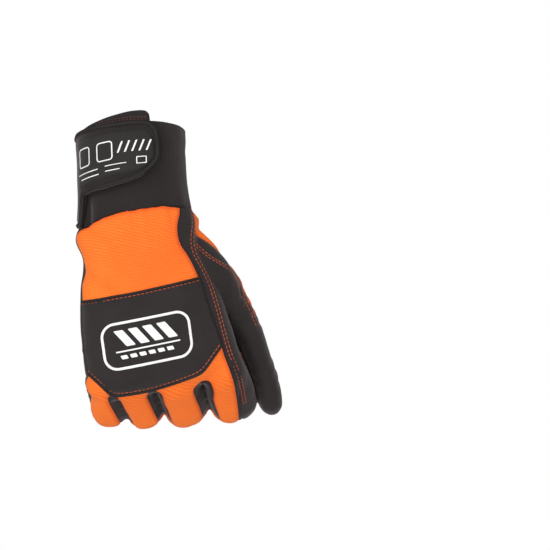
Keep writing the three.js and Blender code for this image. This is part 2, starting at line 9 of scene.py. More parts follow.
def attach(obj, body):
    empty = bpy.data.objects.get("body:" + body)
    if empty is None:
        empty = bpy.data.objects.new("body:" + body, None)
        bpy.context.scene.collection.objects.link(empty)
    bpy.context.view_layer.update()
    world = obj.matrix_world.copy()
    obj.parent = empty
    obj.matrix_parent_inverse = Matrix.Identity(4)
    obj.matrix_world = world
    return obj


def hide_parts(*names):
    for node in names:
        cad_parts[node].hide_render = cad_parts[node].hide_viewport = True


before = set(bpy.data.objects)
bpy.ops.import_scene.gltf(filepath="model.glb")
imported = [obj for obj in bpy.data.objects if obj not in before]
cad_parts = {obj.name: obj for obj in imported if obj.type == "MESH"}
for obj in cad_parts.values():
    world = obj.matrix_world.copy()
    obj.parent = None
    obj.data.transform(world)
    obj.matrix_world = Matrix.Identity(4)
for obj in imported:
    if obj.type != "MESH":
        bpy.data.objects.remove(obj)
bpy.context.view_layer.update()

MM = 0.001

# ---------------------------------------------------------------- camera

LENS_MM = 102.8
SENSOR_MM = 36
VIEW_DISTANCE = 20
CAMERA_PLACE = (0, -1.0673253, -0.3261141)
CAMERA_SIDE = Vector((0.99387022, -0.06816887, -0.0870344))
CAMERA_UP = Vector((0.07124635, -0.20703048, 0.97573682))
CAMERA_FORWARD = Vector((0.08453365, 0.97595665, 0.20090465))


def place_camera():
    data = bpy.data.cameras.new("camera")
    data.lens = LENS_MM
    data.sensor_width = SENSOR_MM
    data.clip_end = VIEW_DISTANCE
    camera = bpy.data.objects.new("camera", data)
    bpy.context.scene.collection.objects.link(camera)
    turn = Matrix((CAMERA_SIDE, CAMERA_UP, -CAMERA_FORWARD)).transposed().to_4x4()
    camera.matrix_world = Matrix.Translation(CAMERA_PLACE) @ turn
    bpy.context.scene.camera = camera


place_camera()

# ---------------------------------------------------------------- sizes in millimetres, as in the part

CUFF_LENGTH = 60
CUFF_HALF_WIDTH = 36.6
CUFF_HALF_DEPTH = 33
SEAM_TILT = math.radians(5.5)
FLAP_WALL = 2
FLAP_RISE = 7
STRAP_WALL = 2.4
STRAP_HEIGHT = 41
STRAP_DROP = 1.5
LAYER_GAP = 0.3
HAND_LENGTH = 120
HAND_HALF_BREADTH = 54
HAND_HALF_DEPTH = 22
THUMB_REACH = 158
THUMB_HALF_WIDTH = 18
THUMB_HALF_DEPTH = 19
WRIST_BEND_LENGTH = 28
WRIST_BEND_DEG = 15
WRIST_TURN_DEG = 2
HAND_POWER = 2.5
FINGER_POWER = 2.2
FINGER_TAPER = 0.92
CAP_START_SHARE = 0.12

# place, thumb side, little side, back, palm: shares of the hand's length, half breadth and half depth
HAND_SECTIONS = [
    (-0.02, 0.71, 0.75, 1.24, 1.22),
    (0.00, 0.72, 0.76, 1.24, 1.22),
    (0.05, 0.75, 0.80, 1.24, 1.20),
    (0.17, 0.71, 0.77, 1.12, 1.10),
    (0.34, 0.79, 0.88, 1.03, 1.10),
    (0.60, 0.88, 0.99, 0.99, 1.12),
    (0.83, 0.94, 1.03, 0.93, 0.98),
    (0.94, 0.94, 1.03, 0.76, 0.78),
    (1.01, 0.76, 0.88, 0.34, 0.38),
]
# place, across: where the orange back ends beside the index finger
INDEX_SEAM = [
    (-0.05, 0.56), (0.045, 0.54), (0.09, 0.49), (0.14, 0.466), (0.19, 0.478), (0.24, 0.525), (0.36, 0.605),
    (0.42, 0.635), (0.52, 0.652), (0.65, 0.688), (0.80, 0.735), (0.88, 0.752), (0.97, 0.783), (1.06, 0.81),
    (1.14, 0.818), (1.30, 0.812),
]
# place, across: where the thumb's panel begins
THUMB_SEAM = [(0.26, 0.78), (0.42, 0.86), (0.60, 0.90), (0.76, 0.93), (1.10, 0.97), (1.30, 0.97)]
# place, across, palmward, width, depth
THUMB_SECTIONS = [
    (0.04, 0.42, 0.10, 1.08, 1.00),
    (0.16, 0.39, 0.35, 1.08, 1.02),
    (0.24, 0.56, 0.55, 1.10, 1.04),
    (0.30, 0.74, 0.72, 1.08, 1.03),
    (0.44, 0.94, 0.98, 0.89, 0.96),
    (0.58, 1.13, 1.18, 0.62, 0.88),
    (0.72, 1.215, 1.26, 0.53, 0.84),
    (0.86, 1.265, 1.28, 0.53, 0.80),
    (0.94, 1.285, 1.29, 0.48, 0.68),
    (0.98, 1.29, 1.30, 0.36, 0.46),
    (1.00, 1.29, 1.30, 0.16, 0.18),
]
# the web between hand and thumb, in millimetres: place, across, palmward, half width, half depth
WEB_SECTIONS = [
    (14, 30, 2, 10, 8), (28, 34, 2, 15, 12), (47, 40, 4, 18, 14), (65, 46, 9, 17, 12), (80, 51, 15, 13, 9),
    (95, 55, 21, 10, 7), (108, 58, 26, 6, 5),
]
# bones and half sizes in millimetres, bends and lean in degrees; strip is how far the orange reaches to the
# little finger's side and to the thumb's side, start is how much of its width the finger begins with
FINGERS = {
    "index": dict(
        across=0.69, place=0.88, palmward=-0.10, bones=(53, 26, 23), half_width=17.6, half_depth=13.4,
        bends=(44, 72, 38), lean=8, strip=(0.70, 0.44), start=0.85),
    "middle": dict(
        across=0.03, place=0.86, palmward=-0.14, bones=(54, 28, 24), half_width=17.2, half_depth=13.8,
        bends=(48, 70, 40), lean=12, strip=(0.78, 0.78), start=0.9),
    "ring": dict(
        across=-0.55, place=0.84, palmward=-0.12, bones=(52, 27, 24), half_width=14.4, half_depth=13.2,
        bends=(48, 72, 40), lean=15, strip=(0.76, 0.76), start=0.9),
    "little": dict(
        across=-0.87, place=0.82, palmward=-0.05, bones=(45, 23, 21), half_width=14.5, half_depth=12.2,
        bends=(47, 72, 38), lean=7, strip=(1.05, 0.72), start=0.5),
}
NEIGHBOURS = list(zip(list(FINGERS), list(FINGERS)[1:]))
# half width and middle line of the dark ovals between the knuckles, as across and place on the hand
OVALS = {
    ("index", "middle"): (4.9, [(20.4, 127), (22.5, 138), (25.4, 155), (26.4, 169)]),
    ("middle", "ring"): (3.9, [(-13.0, 123), (-11.0, 133), (-8.0, 147), (-6.0, 160)]),
    ("ring", "little"): (3.5, [(-41.2, 119.8), (-39.5, 127), (-36.5, 138), (-33.5, 147)]),
}
# place, width, depth
CUFF_SECTIONS = [
    (-0.3, 1.00, 1.00), (0.00, 1.00, 1.00), (0.45, 0.99, 0.90), (0.75, 1.01, 0.84), (1.00, 1.04, 0.82),
]

# how far the limbs are drawn in before they are fused, and how far the cloth lies outside them
SHRINK = 0.7
CLOTH_LIFT = 0.15
FUSED_GRAIN = 1.3
THINNEST = 0.8

# walls of the pieces
PANEL_WALL = 1.7
PATCH_WALL = 1.3
GRIP_WALL = 1.2
CUFF_TUBE_WALL = 2.2
FLAP_CLOTH_WALL = 1.9
STRAP_CLOTH_WALL = 2.3
LABEL_WALL = 0.6
PRINT_WALL = 0.1

FAR = 1e9
TINY = 1e-9
TINIEST = 1e-12
ON_LINE = 1e-4

# ---------------------------------------------------------------- sums


def curve(rows, column, places):
    """A table's column at these places, on a smooth line through its rows."""
    xs = np.array([row[0] for row in rows], float)
    ys = np.array([row[column] for row in rows], float)
    slopes = np.gradient(ys, xs)
    x = np.clip(np.asarray(places, float), xs[0], xs[-1])
    i = np.clip(np.searchsorted(xs, x, side="right") - 1, 0, len(xs) - 2)
    step = xs[i + 1] - xs[i]
    t = (x - xs[i]) / step
    return (
        (2 * t**3 - 3 * t**2 + 1) * ys[i]
        + (t**3 - 2 * t**2 + t) * step * slopes[i]
        + (3 * t**2 - 2 * t**3) * ys[i + 1]
        + (t**3 - t**2) * step * slopes[i + 1]
    )


def curves(rows, places):
    return [curve(rows, column, places) for column in range(1, len(rows[0]))]


def smoothstep(x, low, high):
    t = np.clip((x - low) / (high - low), 0, 1)
    return t * t * (3 - 2 * t)


def bell(x, width):
    return np.exp(-((x / width) ** 2))


def inside_all(*values):
    return np.minimum.reduce(values)


def soft_max(a, b, blend):
    """The larger of two distances, rounded where they meet."""
    h = np.clip(0.5 + (a - b) / (2 * blend), 0, 1)
    return b + (a - b) * h + blend * h * (1 - h)


def turned(v, axis, angle):
    c, s = math.cos(angle), math.sin(angle)
    return v * c + np.cross(axis, v) * s + axis * (axis @ v) * (1 - c)


def unevenness(points, wavelength, seed, count=7):
    """A smooth uneven value from -1 to 1 in space, for cloth that is never quite even."""
    rng = np.random.default_rng(seed)
    total = np.zeros(len(points))
    for _ in range(count):
        way = rng.normal(size=3)
        way /= np.linalg.norm(way)
        wave = 2 * math.pi / (wavelength * rng.uniform(0.7, 1.5))
        total += np.sin(points @ way * wave + rng.uniform(0, 2 * math.pi))
    return total / math.sqrt(count) / 1.6


def uneven_cloth(points, waves):
    """How much the cloth rises and falls, from rows of height, wavelength and seed, in millimetres."""
    return sum(height * unevenness(points, wavelength, seed) for height, wavelength, seed in waves)


def edge_distance(points, a, edge):
    """How far each flat point is from an edge that starts at a."""
    t = np.clip(((points - a) @ edge) / (edge @ edge + TINIEST), 0, 1)
    return np.hypot(*(points - a - t[:, None] * edge).T)


def inside_outline(points, outline):
    """How far each flat point lies inside a closed outline; outside it is negative."""
    best = np.full(len(points), FAR)
    odd = np.zeros(len(points), bool)
    x, y = points[:, 0], points[:, 1]
    for a, b in zip(outline, np.roll(outline, -1, axis=0)):
        edge = b - a
        best = np.minimum(best, edge_distance(points, a, edge))
        crosses = (a[1] > y) != (b[1] > y)
        rise = edge[1] if abs(edge[1]) > TINIEST else TINIEST
        odd ^= crosses & (x < edge[0] * (y - a[1]) / rise + a[0])
    return np.where(odd, best, -best)


def line_distance(points, line):
    """The distance from each flat point to an open line."""
    line = np.array(line, float)
    return np.minimum.reduce([edge_distance(points, a, b - a) for a, b in zip(line[:-1], line[1:])])


def soft_outline(points, step=2.0, times=3):
    """A closed outline with its corners rounded a little."""
    line = []
    for a, b in zip(points, points[1:] + points[:1]):
        a, b = np.array(a, float), np.array(b, float)
        count = max(int(np.hypot(*(b - a)) / step), 1)
        line += [a + (b - a) * i / count for i in range(count)]
    line = np.array(line)
    for _ in range(times):
        line = line * 0.5 + (np.roll(line, 1, axis=0) + np.roll(line, -1, axis=0)) * 0.25
    return line


def rounded_box(points, centre, half, corner, slant=0.0):
    """How far each flat point lies inside a rounded box, which may lean."""
    x, y = (points - np.array(centre)).T
    x = x - y * slant
    dx, dy = np.abs(x) - half[0] + corner, np.abs(y) - half[1] + corner
    return corner - np.hypot(np.maximum(dx, 0), np.maximum(dy, 0)) - np.minimum(np.maximum(dx, dy), 0)


# ---------------------------------------------------------------- limbs


def bent_so_far(bends, s):
    """The angle turned by this place, from rows of start, length and angle."""
    return sum(angle * float(smoothstep(s, start, start + length)) for start, length, angle in bends)


class Spine:
    """A bent middle line with a frame at each millimetre."""

    def __init__(self, origin, along, across, length, bends, turns=()):
        frames = []
        origin, along, across = (np.array(v, float) for v in (origin, along, across))
        for s in range(math.ceil(length) + 1):
            if s:
                palm = np.cross(across, along)
                bend = math.radians(bent_so_far(bends, s) - bent_so_far(bends, s - 1))
                turn = math.radians(bent_so_far(turns, s) - bent_so_far(turns, s - 1))
                along = turned(turned(along, across, bend), palm, -turn)
                across = turned(across, palm, -turn)
                origin = origin + along
            frames.append((origin, along, across, np.cross(across, along)))
        self.origins, self.alongs, self.acrosses, self.palms = map(np.array, zip(*frames))

    def at(self, s):
        i = int(np.clip(math.floor(s), 0, len(self.origins) - 1))
        return self.origins[i] + self.alongs[i] * (s - i), self.alongs[i], self.acrosses[i], self.palms[i]

    def measure(self, points, nearest=True):
        """Each point's place along the spine, across it and towards the palm."""
        if nearest:
            apart = ((points[:, None] - self.origins[None]) ** 2).sum(axis=2)
        else:
            heights = (self.origins * self.alongs).sum(axis=1)
            apart = np.abs(np.einsum("ij,kj->ik", points, self.alongs) - heights)
        i = apart.argmin(axis=1)
        away = points - self.origins[i]
        return np.stack([
            i + (away * self.alongs[i]).sum(axis=1),
            (away * self.acrosses[i]).sum(axis=1),
            (away * self.palms[i]).sum(axis=1),
        ], axis=1)


def settle_finger(finger):
    """Works out a finger's joints and its bent middle line."""
    origin, along, across, palm = hand_spine.at(finger["place"] * HAND_LENGTH)
    origin = origin + across * finger["across"] * HAND_HALF_BREADTH
    origin = origin + palm * finger["palmward"] * HAND_HALF_DEPTH
    lean = math.radians(finger["lean"])
    first, second, third = finger["bones"]
    joints = (0, first, first + second)
    rounds = [share * finger["half_depth"] for share in (1.5, 1.5, 1.1)]
    bends = [(max(0, j - r / 2), r, b) for j, r, b in zip(joints, rounds, finger["bends"])]
    finger["length"] = first + second + third
    finger["joints"] = joints
    finger["cap_start"] = first + CAP_START_SHARE * second
    finger["spine"] = Spine(
        origin, turned(along, palm, -lean), turned(across, palm, -lean), finger["length"], bends)


hand_spine = Spine(
    (0, 0, -CUFF_LENGTH),
    (math.sin(SEAM_TILT), 0, -math.cos(SEAM_TILT)),
    (math.cos(SEAM_TILT), 0, math.sin(SEAM_TILT)),
    THUMB_REACH,
    [(0, WRIST_BEND_LENGTH, WRIST_BEND_DEG)],
    [(0, WRIST_BEND_LENGTH, WRIST_TURN_DEG)],
)
for each_finger in FINGERS.values():
    settle_finger(each_finger)


def section(frame_at, sides, power, count):
    """A rounded ring round a spine; sides are its reach to the right, left, back and palm."""
    origin, _, across, palm = frame_at
    right, left, back, front = sides
    turn = np.linspace(0, 2 * math.pi, count, endpoint=False)
    c, s = np.cos(turn), np.sin(turn)
    x = np.sign(c) * np.abs(c) ** (2 / power) * np.where(c > 0, right, left)
    y = np.sign(s) * np.abs(s) ** (2 / power) * np.where(s > 0, front, back)
    return origin + x[:, None] * across + y[:, None] * palm


def closed_loft(rings):
    """Points and faces of a closed body through rings of equal count."""
    count = len(rings[0])
    points = np.vstack(rings + [rings[0].mean(axis=0), rings[-1].mean(axis=0)])
    faces = []
    for r in range(len(rings) - 1):
        for i in range(count):
            j = (i + 1) % count
            faces.append((r * count + i, r * count + j, (r + 1) * count + j, (r + 1) * count + i))
    last = (len(rings) - 1) * count
    for i in range(count):
        j = (i + 1) % count
        faces.append((len(points) - 2, j, i))
        faces.append((len(points) - 1, last + i, last + j))
    return points, faces


def hand_rings():
    places = np.concatenate([np.linspace(-0.02, 0.94, 60), np.linspace(0.95, 1.01, 7)])
    rings = []
    for place, right, left, back, front in zip(places, *curves(HAND_SECTIONS, places)):
        sides = (right * HAND_HALF_BREADTH - SHRINK, left * HAND_HALF_BREADTH - SHRINK,
                 back * HAND_HALF_DEPTH - SHRINK, front * HAND_HALF_DEPTH - SHRINK)
        rings.append(section(hand_spine.at(place * HAND_LENGTH), sides, HAND_POWER, 96))
    return rings


def rings_beside(rows, places, reach=1, breadth=1, thickness=1, half_width=1, half_depth=1):
    """Rings beside the hand's spine, from a table of place, across, palmward, width and depth."""
    rings = []
    for place, across, palmward, width, depth in zip(places, *curves(rows, places)):
        origin, along, way, palm = hand_spine.at(place * reach)
        centre = origin + way * across * breadth + palm * palmward * thickness
        w, d = (max(v - SHRINK, THINNEST) for v in (width * half_width, depth * half_depth))
        rings.append(section((centre, along, way, palm), (w, w, d, d), FINGER_POWER, 56))
    return rings


def thumb_rings():
    places = np.concatenate([np.linspace(0.04, 0.92, 50), np.linspace(0.935, 1.0, 8)])
    return rings_beside(THUMB_SECTIONS, places, THUMB_REACH, HAND_HALF_BREADTH, HAND_HALF_DEPTH,
                        THUMB_HALF_WIDTH, THUMB_HALF_DEPTH)


def web_rings():
    return rings_beside(WEB_SECTIONS, np.linspace(14, 108, 48))


def finger_rings(finger):
    dome = finger["half_depth"] * FINGER_TAPER
    straight = finger["length"] - dome
    rows = [(s, 0.78 + 0.22 * smoothstep(s, -16, 12)) for s in np.arange(-18, straight, 1.5)]
    for angle in np.radians(np.linspace(0, 86, 12)):
        rows.append((straight + math.sin(angle) * (dome - SHRINK), math.cos(angle)))
    rings = []
    for s, share in rows:
        size = 1 + (FINGER_TAPER - 1) * s / finger["length"]
        swell = 1 + 0.035 * sum(bell(s - joint, 8) for joint in finger["joints"][1:])
        narrow = finger["start"] + (1 - finger["start"]) * smoothstep(s, 4, 38)
        w = (finger["half_width"] * size * narrow - SHRINK) * share
        d = (finger["half_depth"] * size * swell - SHRINK) * share
        rings.append(section(finger["spine"].at(s), (w, w, d, d), FINGER_POWER, 48))
    return rings


# ---------------------------------------------------------------- objects


def new_object(name, points, faces):
    """A mesh object from points in millimetres."""
    mesh = bpy.data.meshes.new(name)
    mesh.from_pydata((np.asarray(points) * MM).tolist(), [], [tuple(int(i) for i in face) for face in faces])
    mesh.update()
    made = bpy.data.objects.new(name, mesh)
    bpy.context.scene.collection.objects.link(made)
    return made


def pick(made):
    bpy.ops.object.select_all(action="DESELECT")
    made.select_set(True)
    bpy.context.view_layer.objects.active = made


def with_modifier(made, kind, **settings):
    """Adds a modifier, sets it and applies it."""
    pick(made)
    modifier = made.modifiers.new(kind.lower(), kind)
    for key, value in settings.items():
        setattr(modifier, key, value)
    bpy.ops.object.modifier_apply(modifier=modifier.name)


def sides_of(faces):
    """The two points of each triangle's three sides, the lower number first."""
    return np.sort(np.vstack([faces[:, [0, 1]], faces[:, [1, 2]], faces[:, [2, 0]]]), axis=1)


def vertex_normals(points, faces):
    a, b, c = (points[faces[:, k]] for k in range(3))
    flat = np.cross(b - a, c - a)
    normals = np.zeros_like(points)
    for k in range(3):
        np.add.at(normals, faces[:, k], flat)
    return normals / (np.linalg.norm(normals, axis=1, keepdims=True) + TINIEST)


def smoothed(points, faces, times, share=0.5, back=-0.52):
    """Evens the points out; the move back keeps the form from shrinking."""
    edges = np.unique(sides_of(faces), axis=0)
    a, b = edges.T
    count = np.bincount(edges.ravel(), minlength=len(points))[:, None]
    for _ in range(times):
        for amount in (share, back):
            total = np.zeros_like(points)
            np.add.at(total, a, points[b])
            np.add.at(total, b, points[a])
            points = points + amount * (total / np.maximum(count, 1) - points)
    return points


def chains(links):
    """Follows the lines from link to link, open ones from an end."""
    seen = set()
    for start in sorted(links, key=lambda point: (len(links[point]) != 1, point)):
        if start in seen:
            continue
        chain = [start]
        seen.add(start)
        while after := [point for point in links[chain[-1]] if point not in seen]:
            chain.append(after[0])
            seen.add(after[0])
        if len(chain) > 8 and chain[0] in links[chain[-1]]:
            chain.append(chain[0])
        if len(chain) > 3:
            yield chain


class Cloth:
    """A triangle mesh whose points carry measures along the limbs; it can be cut along any line."""

    def __init__(self, data, faces, columns):
        self.data, self.faces, self.columns = data, faces, columns

    @classmethod
    def of(cls, faces, **measures):
        """A cloth from its triangles and its named measures, each with a row a point."""
        columns, start = {}, 0
        for name, rows in measures.items():
            columns[name] = slice(start, start + rows.shape[1])
            start += rows.shape[1]
        return cls(np.hstack(list(measures.values())), faces, columns)

    def __getitem__(self, name):
        return self.data[:, self.columns[name]]

    def kept(self, faces):
        """Only these faces, with the points that they use."""
        used, packed = np.unique(faces, return_inverse=True)
        return Cloth(self.data[used], packed.reshape(-1, 3), self.columns)

    def crossings(self, value):
        """Where the line on which value is 0 divides triangles.

        Gives how many corners of each triangle lie above, the divided triangles' corners, the odd one
        first, whether that one lies above, the new points' data and each triangle's two new points."""
        value = np.where(np.abs(value) < ON_LINE, ON_LINE, value)
        above = value > 0
        count = above[self.faces].sum(axis=1)
        divided = (count == 1) | (count == 2)
        mixed = self.faces[divided]
        odd_above = count[divided] == 1
        odd = (above[mixed] == odd_above[:, None]).argmax(axis=1)
        o, x, y = (mixed[np.arange(len(mixed)), (odd + k) % 3] for k in range(3))
        pairs = np.sort(np.vstack([np.stack([o, x], axis=1), np.stack([o, y], axis=1)]), axis=1)
        edges, index = np.unique(pairs, axis=0, return_inverse=True)
        a, b = edges.T
        t = (value[a] / (value[a] - value[b]))[:, None]
        data = self.data[a] * (1 - t) + self.data[b] * t
        return count, (o, x, y), odd_above, data, index.reshape(2, -1)

    def cut(self, value):
        """Cuts along the line where value is 0, and gives the part above it and the part below it."""
        count, (o, x, y), odd_above, data, index = self.crossings(value)
        ox, oy = index + len(self.data)
        tips = np.stack([o, ox, oy], axis=1)
        bases = np.vstack([np.stack([ox, x, y], axis=1), np.stack([ox, y, oy], axis=1)])
        twice = np.tile(odd_above, 2)
        whole = Cloth(np.vstack([self.data, data]), None, self.columns)
        top = np.vstack([self.faces[count == 3], tips[odd_above], bases[~twice]])
        low = np.vstack([self.faces[count == 0], tips[~odd_above], bases[twice]])
        return whole.kept(top), whole.kept(low)

    def finer(self):
        """The same cloth with each triangle in four."""
        edges, which = np.unique(sides_of(self.faces), axis=0, return_inverse=True)
        ab, bc, ca = len(self.data) + which.reshape(3, -1)
        a, b, c = self.faces.T
        quarters = ((a, ab, ca), (ab, b, bc), (ca, bc, c), (ab, bc, ca))
        faces = np.vstack([np.stack(corners, axis=1) for corners in quarters])
        return Cloth(np.vstack([self.data, self.data[edges].mean(axis=1)]), faces, self.columns)

    def part_sizes(self):
        """For each triangle, how many are in the connected part that it belongs to."""
        label = np.arange(len(self.data))
        a = self.faces[:, [0, 1, 2]].ravel()
        b = self.faces[:, [1, 2, 0]].ravel()
        while True:
            low = np.minimum(label[a], label[b])
            new = label.copy()
            np.minimum.at(new, a, low)
            np.minimum.at(new, b, low)
            new = new[new]
            if (new == label).all():
                break
            label = new
        return np.bincount(label[self.faces[:, 0]], minlength=len(label))[label[self.faces[:, 0]]]

    def largest(self):
        sizes = self.part_sizes()
        return self.kept(self.faces[sizes == sizes.max()])

    def joined(self, other):
        """Both cloths as one, sewn together where their points are the same."""
        data = np.vstack([self.data, other.data])
        faces = np.vstack([self.faces, other.faces + len(self.data)])
        _, first, same = np.unique(
            data[:, self.columns["point"]], axis=0, return_index=True, return_inverse=True)
        return Cloth(data[first], same.reshape(-1)[faces], self.columns)

    def border(self):
        """The points on the open edges."""
        edges, counts = np.unique(sides_of(self.faces), axis=0, return_counts=True)
        return np.unique(edges[counts == 1])

    def line(self, value, keep=None, shortest=6):
        """The lines on the cloth where value is 0: a list of rows of points and normals."""
        data, index = self.crossings(value)[3:]
        wanted = np.ones(len(data), bool) if keep is None else keep(Cloth(data, None, self.columns)) > 0
        links = {}
        for p, q in zip(*index):
            if p != q and wanted[p] and wanted[q]:
                links.setdefault(p, []).append(q)
                links.setdefault(q, []).append(p)
        lines = []
        for chain in chains(links):
            on = Cloth(data[chain], None, self.columns)
            if np.linalg.norm(np.diff(on["point"], axis=0), axis=1).sum() > shortest:
                lines.append((on["point"], on["normal"]))
        return lines

    def lift(self, height):
        """Moves the points out along their normals."""
        self["point"][:] += self["normal"] * np.reshape(height, (-1, 1))

    def to_object(self, name, wall):
        """The cloth as an object with a wall behind it, its flat measures as a UV map."""
        made = new_object(name, self["point"], self.faces)
        flat = self["cloth"][self.faces.ravel()].astype(np.float32)
        made.data.uv_layers.new(name="cloth").data.foreach_set("uv", flat.ravel())
        seam = made.data.attributes.new("seam", "FLOAT", "POINT")
        seam.data.foreach_set("value", self["seam"].astype(np.float32).ravel())
        with_modifier(
            made, "SOLIDIFY", thickness=wall * MM, offset=-1, use_rim=True, use_even_offset=False)
        pick(made)
        bpy.ops.object.shade_smooth_by_angle(angle=math.radians(50))
        return made


# ---------------------------------------------------------------- the glove's form


def fused(bodies):
    """All bodies as one closed skin of small even triangles."""
    all_points, all_faces, start = [], [], 0
    for points, faces in bodies:
        all_points.append(points)
        all_faces += [tuple(i + start for i in face) for face in faces]
        start += len(points)
    form = new_object("form", np.vstack(all_points), all_faces)
    with_modifier(form, "REMESH", mode="VOXEL", voxel_size=FUSED_GRAIN * MM, adaptivity=0)
    with_modifier(form, "TRIANGULATE")
    points = np.empty(len(form.data.vertices) * 3)
    form.data.vertices.foreach_get("co", points)
    faces = np.empty(len(form.data.polygons) * 3, int)
    form.data.polygons.foreach_get("vertices", faces)
    bpy.data.objects.remove(form)
    return points.reshape(-1, 3) / MM, faces.reshape(-1, 3)


def thumb_measures(hand):
    """Across the thumb, towards its palm side, and how far outside its form."""
    across_at, palm_at, width, depth = curves(THUMB_SECTIONS, hand[:, 0] / THUMB_REACH)
    across = hand[:, 1] - across_at * HAND_HALF_BREADTH
    palm = hand[:, 2] - palm_at * HAND_HALF_DEPTH
    half_width, half_depth = width * THUMB_HALF_WIDTH, depth * THUMB_HALF_DEPTH
    shares = (np.abs(across) / half_width) ** FINGER_POWER + (np.abs(palm) / half_depth) ** FINGER_POWER
    out = (shares ** (1 / FINGER_POWER) - 1) * np.minimum(half_width, half_depth)
    return np.stack([across, palm, out], axis=1)


def flat_measures(hand, limbs):
    """Flat places on the cloth, which run on from the hand into each finger."""
    flat = hand[:, [1, 0]].copy()
    nearest = np.full(len(hand), FAR)
    for name, finger in FINGERS.items():
        s, across, palm = limbs[name].T
        reach = np.hypot(across / finger["half_width"], palm / finger["half_depth"])
        reach = np.where(s < 4, 1e3, reach)
        closer = reach < nearest
        share = smoothstep(s, 6, 18)[:, None]
        on_finger = np.stack([
            finger["across"] * HAND_HALF_BREADTH + across,
            finger["place"] * HAND_LENGTH + s,
        ], axis=1)
        use = closer & (reach < 1.35)
        flat[use] = (flat * (1 - share) + on_finger * share)[use]
        nearest = np.where(closer, reach, nearest)
    return flat


def glove_skin():
    """The glove's outer form as one cloth, with measures along the hand, the fingers and the thumb."""
    limb_rings = [hand_rings(), thumb_rings(), web_rings(), *map(finger_rings, FINGERS.values())]
    points, faces = fused(map(closed_loft, limb_rings))
    points = smoothed(points, faces, 3, 0.5, 0)
    points = smoothed(points, faces, 10)
    normals = vertex_normals(points, faces)
    points = points + normals * (SHRINK + CLOTH_LIFT)
    hand = hand_spine.measure(points, nearest=False)
    limbs = {name: finger["spine"].measure(points) for name, finger in FINGERS.items()}
    return Cloth.of(
        faces, point=points, normal=normals, hand=hand, **limbs, thumb=thumb_measures(hand),
        cloth=flat_measures(hand, limbs), seam=np.zeros((len(points), 1)))


skin = glove_skin()

# ---------------------------------------------------------------- materials


class Value:
    """A number or a colour on its way through a material; it adds and multiplies like any other."""

    def __init__(self, look, socket):
        self.look, self.socket = look, socket

    def maths(self, operation, *others):
        return self.look.node("ShaderNodeMath", {"operation": operation}, dict(enumerate((self, *others))))

    def __add__(self, other):
        return self.maths("ADD", other)

    def __sub__(self, other):
        return self.maths("SUBTRACT", other)

    def __mul__(self, other):
        return self.maths("MULTIPLY", other)

    def __truediv__(self, other):
        return self.maths("DIVIDE", other)

    def sine(self):
        return self.maths("SINE")

    def part(self, low, high):
        """0 below low, 1 above high, smooth between."""
        return self.look.node("ShaderNodeMapRange", {"interpolation_type": "SMOOTHSTEP"},
                              {"Value": self, "From Min": low, "From Max": high})


class Look:
    """A material and the nodes in it."""

    def __init__(self, name, **fixed):
        self.material = bpy.data.materials.new(name)
        self.material.use_nodes = True
        self.tree = self.material.node_tree
        self.shader = self.tree.nodes["Principled BSDF"]
        for key, value in fixed.items():
            self.shader.inputs[key.replace("_", " ")].default_value = value

    def node(self, kind, settings=None, inputs=None, output=0):
        made = self.tree.nodes.new(kind)
        for key, value in (settings or {}).items():
            setattr(made, key, value)
        for key, value in (inputs or {}).items():
            self.put(made.inputs[key], value)
        return Value(self, made.outputs[output])

    def put(self, socket, value):
        if isinstance(value, Value):
            self.tree.links.new(value.socket, socket)
        else:
            socket.default_value = value

    def give(self, **values):
        for key, value in values.items():
            self.put(self.shader.inputs[key.replace("_", " ")], value)

    def flat(self):
        """The two flat measures of the cloth, in millimetres."""
        uv = self.node("ShaderNodeUVMap", {"uv_map": "cloth"})
        parts = self.tree.nodes.new("ShaderNodeSeparateXYZ")
        self.put(parts.inputs[0], uv)
        return Value(self, parts.outputs[0]), Value(self, parts.outputs[1])

    def point(self, x, y):
        return self.node("ShaderNodeCombineXYZ", None, {0: x, 1: y, 2: 0.0})

    def place(self):
        return self.node("ShaderNodeTexCoord", output="Object")

    def noise(self, at, scale, detail=3.0, rough=0.55):
        return self.node("ShaderNodeTexNoise", None,
                         {"Vector": at, "Scale": scale, "Detail": detail, "Roughness": rough})

    def seam(self):
        return self.node("ShaderNodeAttribute", {"attribute_name": "seam"}, output="Fac")

    def mix(self, share, first, second):
        """From the first colour to the second."""
        return self.node("ShaderNodeMix", {"data_type": "RGBA"},
                         {0: share, 6: (*first, 1), 7: (*second, 1)}, output=2)

    def bump(self, height, depth, strength):
        """Lifts the surface by height, which goes from 0 to 1, times a depth in millimetres."""
        self.give(Normal=self.node("ShaderNodeBump", None, {
            "Height": height, "Distance": depth * MM, "Strength": strength}))


# widths of a rib, of a knitted wale and loop, and of an embossed cell, in millimetres
RIB = 1.6
WALE = 1.3
LOOP = 1.0
CELL = 2.3


def orange_cloth(name, dark, light):
    look = Look(name, IOR=1.35, Sheen_Weight=0.12, Sheen_Roughness=0.5, Sheen_Tint=(1, 0.55, 0.3, 1))
    u, v = look.flat()
    sway = look.noise(look.point(u * 0.09, v * 0.4), 1.0, 2.0)
    ribs = ((v - u * 0.32 + sway * 1.2) * (2 * math.pi / RIB)).sine() * 0.5 + 0.5
    grain = look.noise(look.point(u * 1.6, v * 3.2), 1.0, 2.0)
    cloud = look.noise(look.place(), 22.0, 2.0)
    # painted shade: large soft patches of darker orange, laid at random, stand in for the shading of soft
    # folds
    broad_shade = look.noise(look.place(), 13.0, 1.0)
    # painted shade: the orange is darker within a few millimetres of each seam, as in the seam grooves
    orange_seam_shade = look.seam().part(0.0, 3.5)
    shade = (ribs * 0.36 + grain * 0.26 + cloud * 0.3 + broad_shade * 0.7 + orange_seam_shade * 0.35).part(0.42, 1.6)
    look.give(Base_Color=look.mix(shade, dark, light), Roughness=grain * 0.15 + 0.68)
    look.bump(ribs * 0.7 + grain * 0.3, 0.35, 0.6)
    return look.material


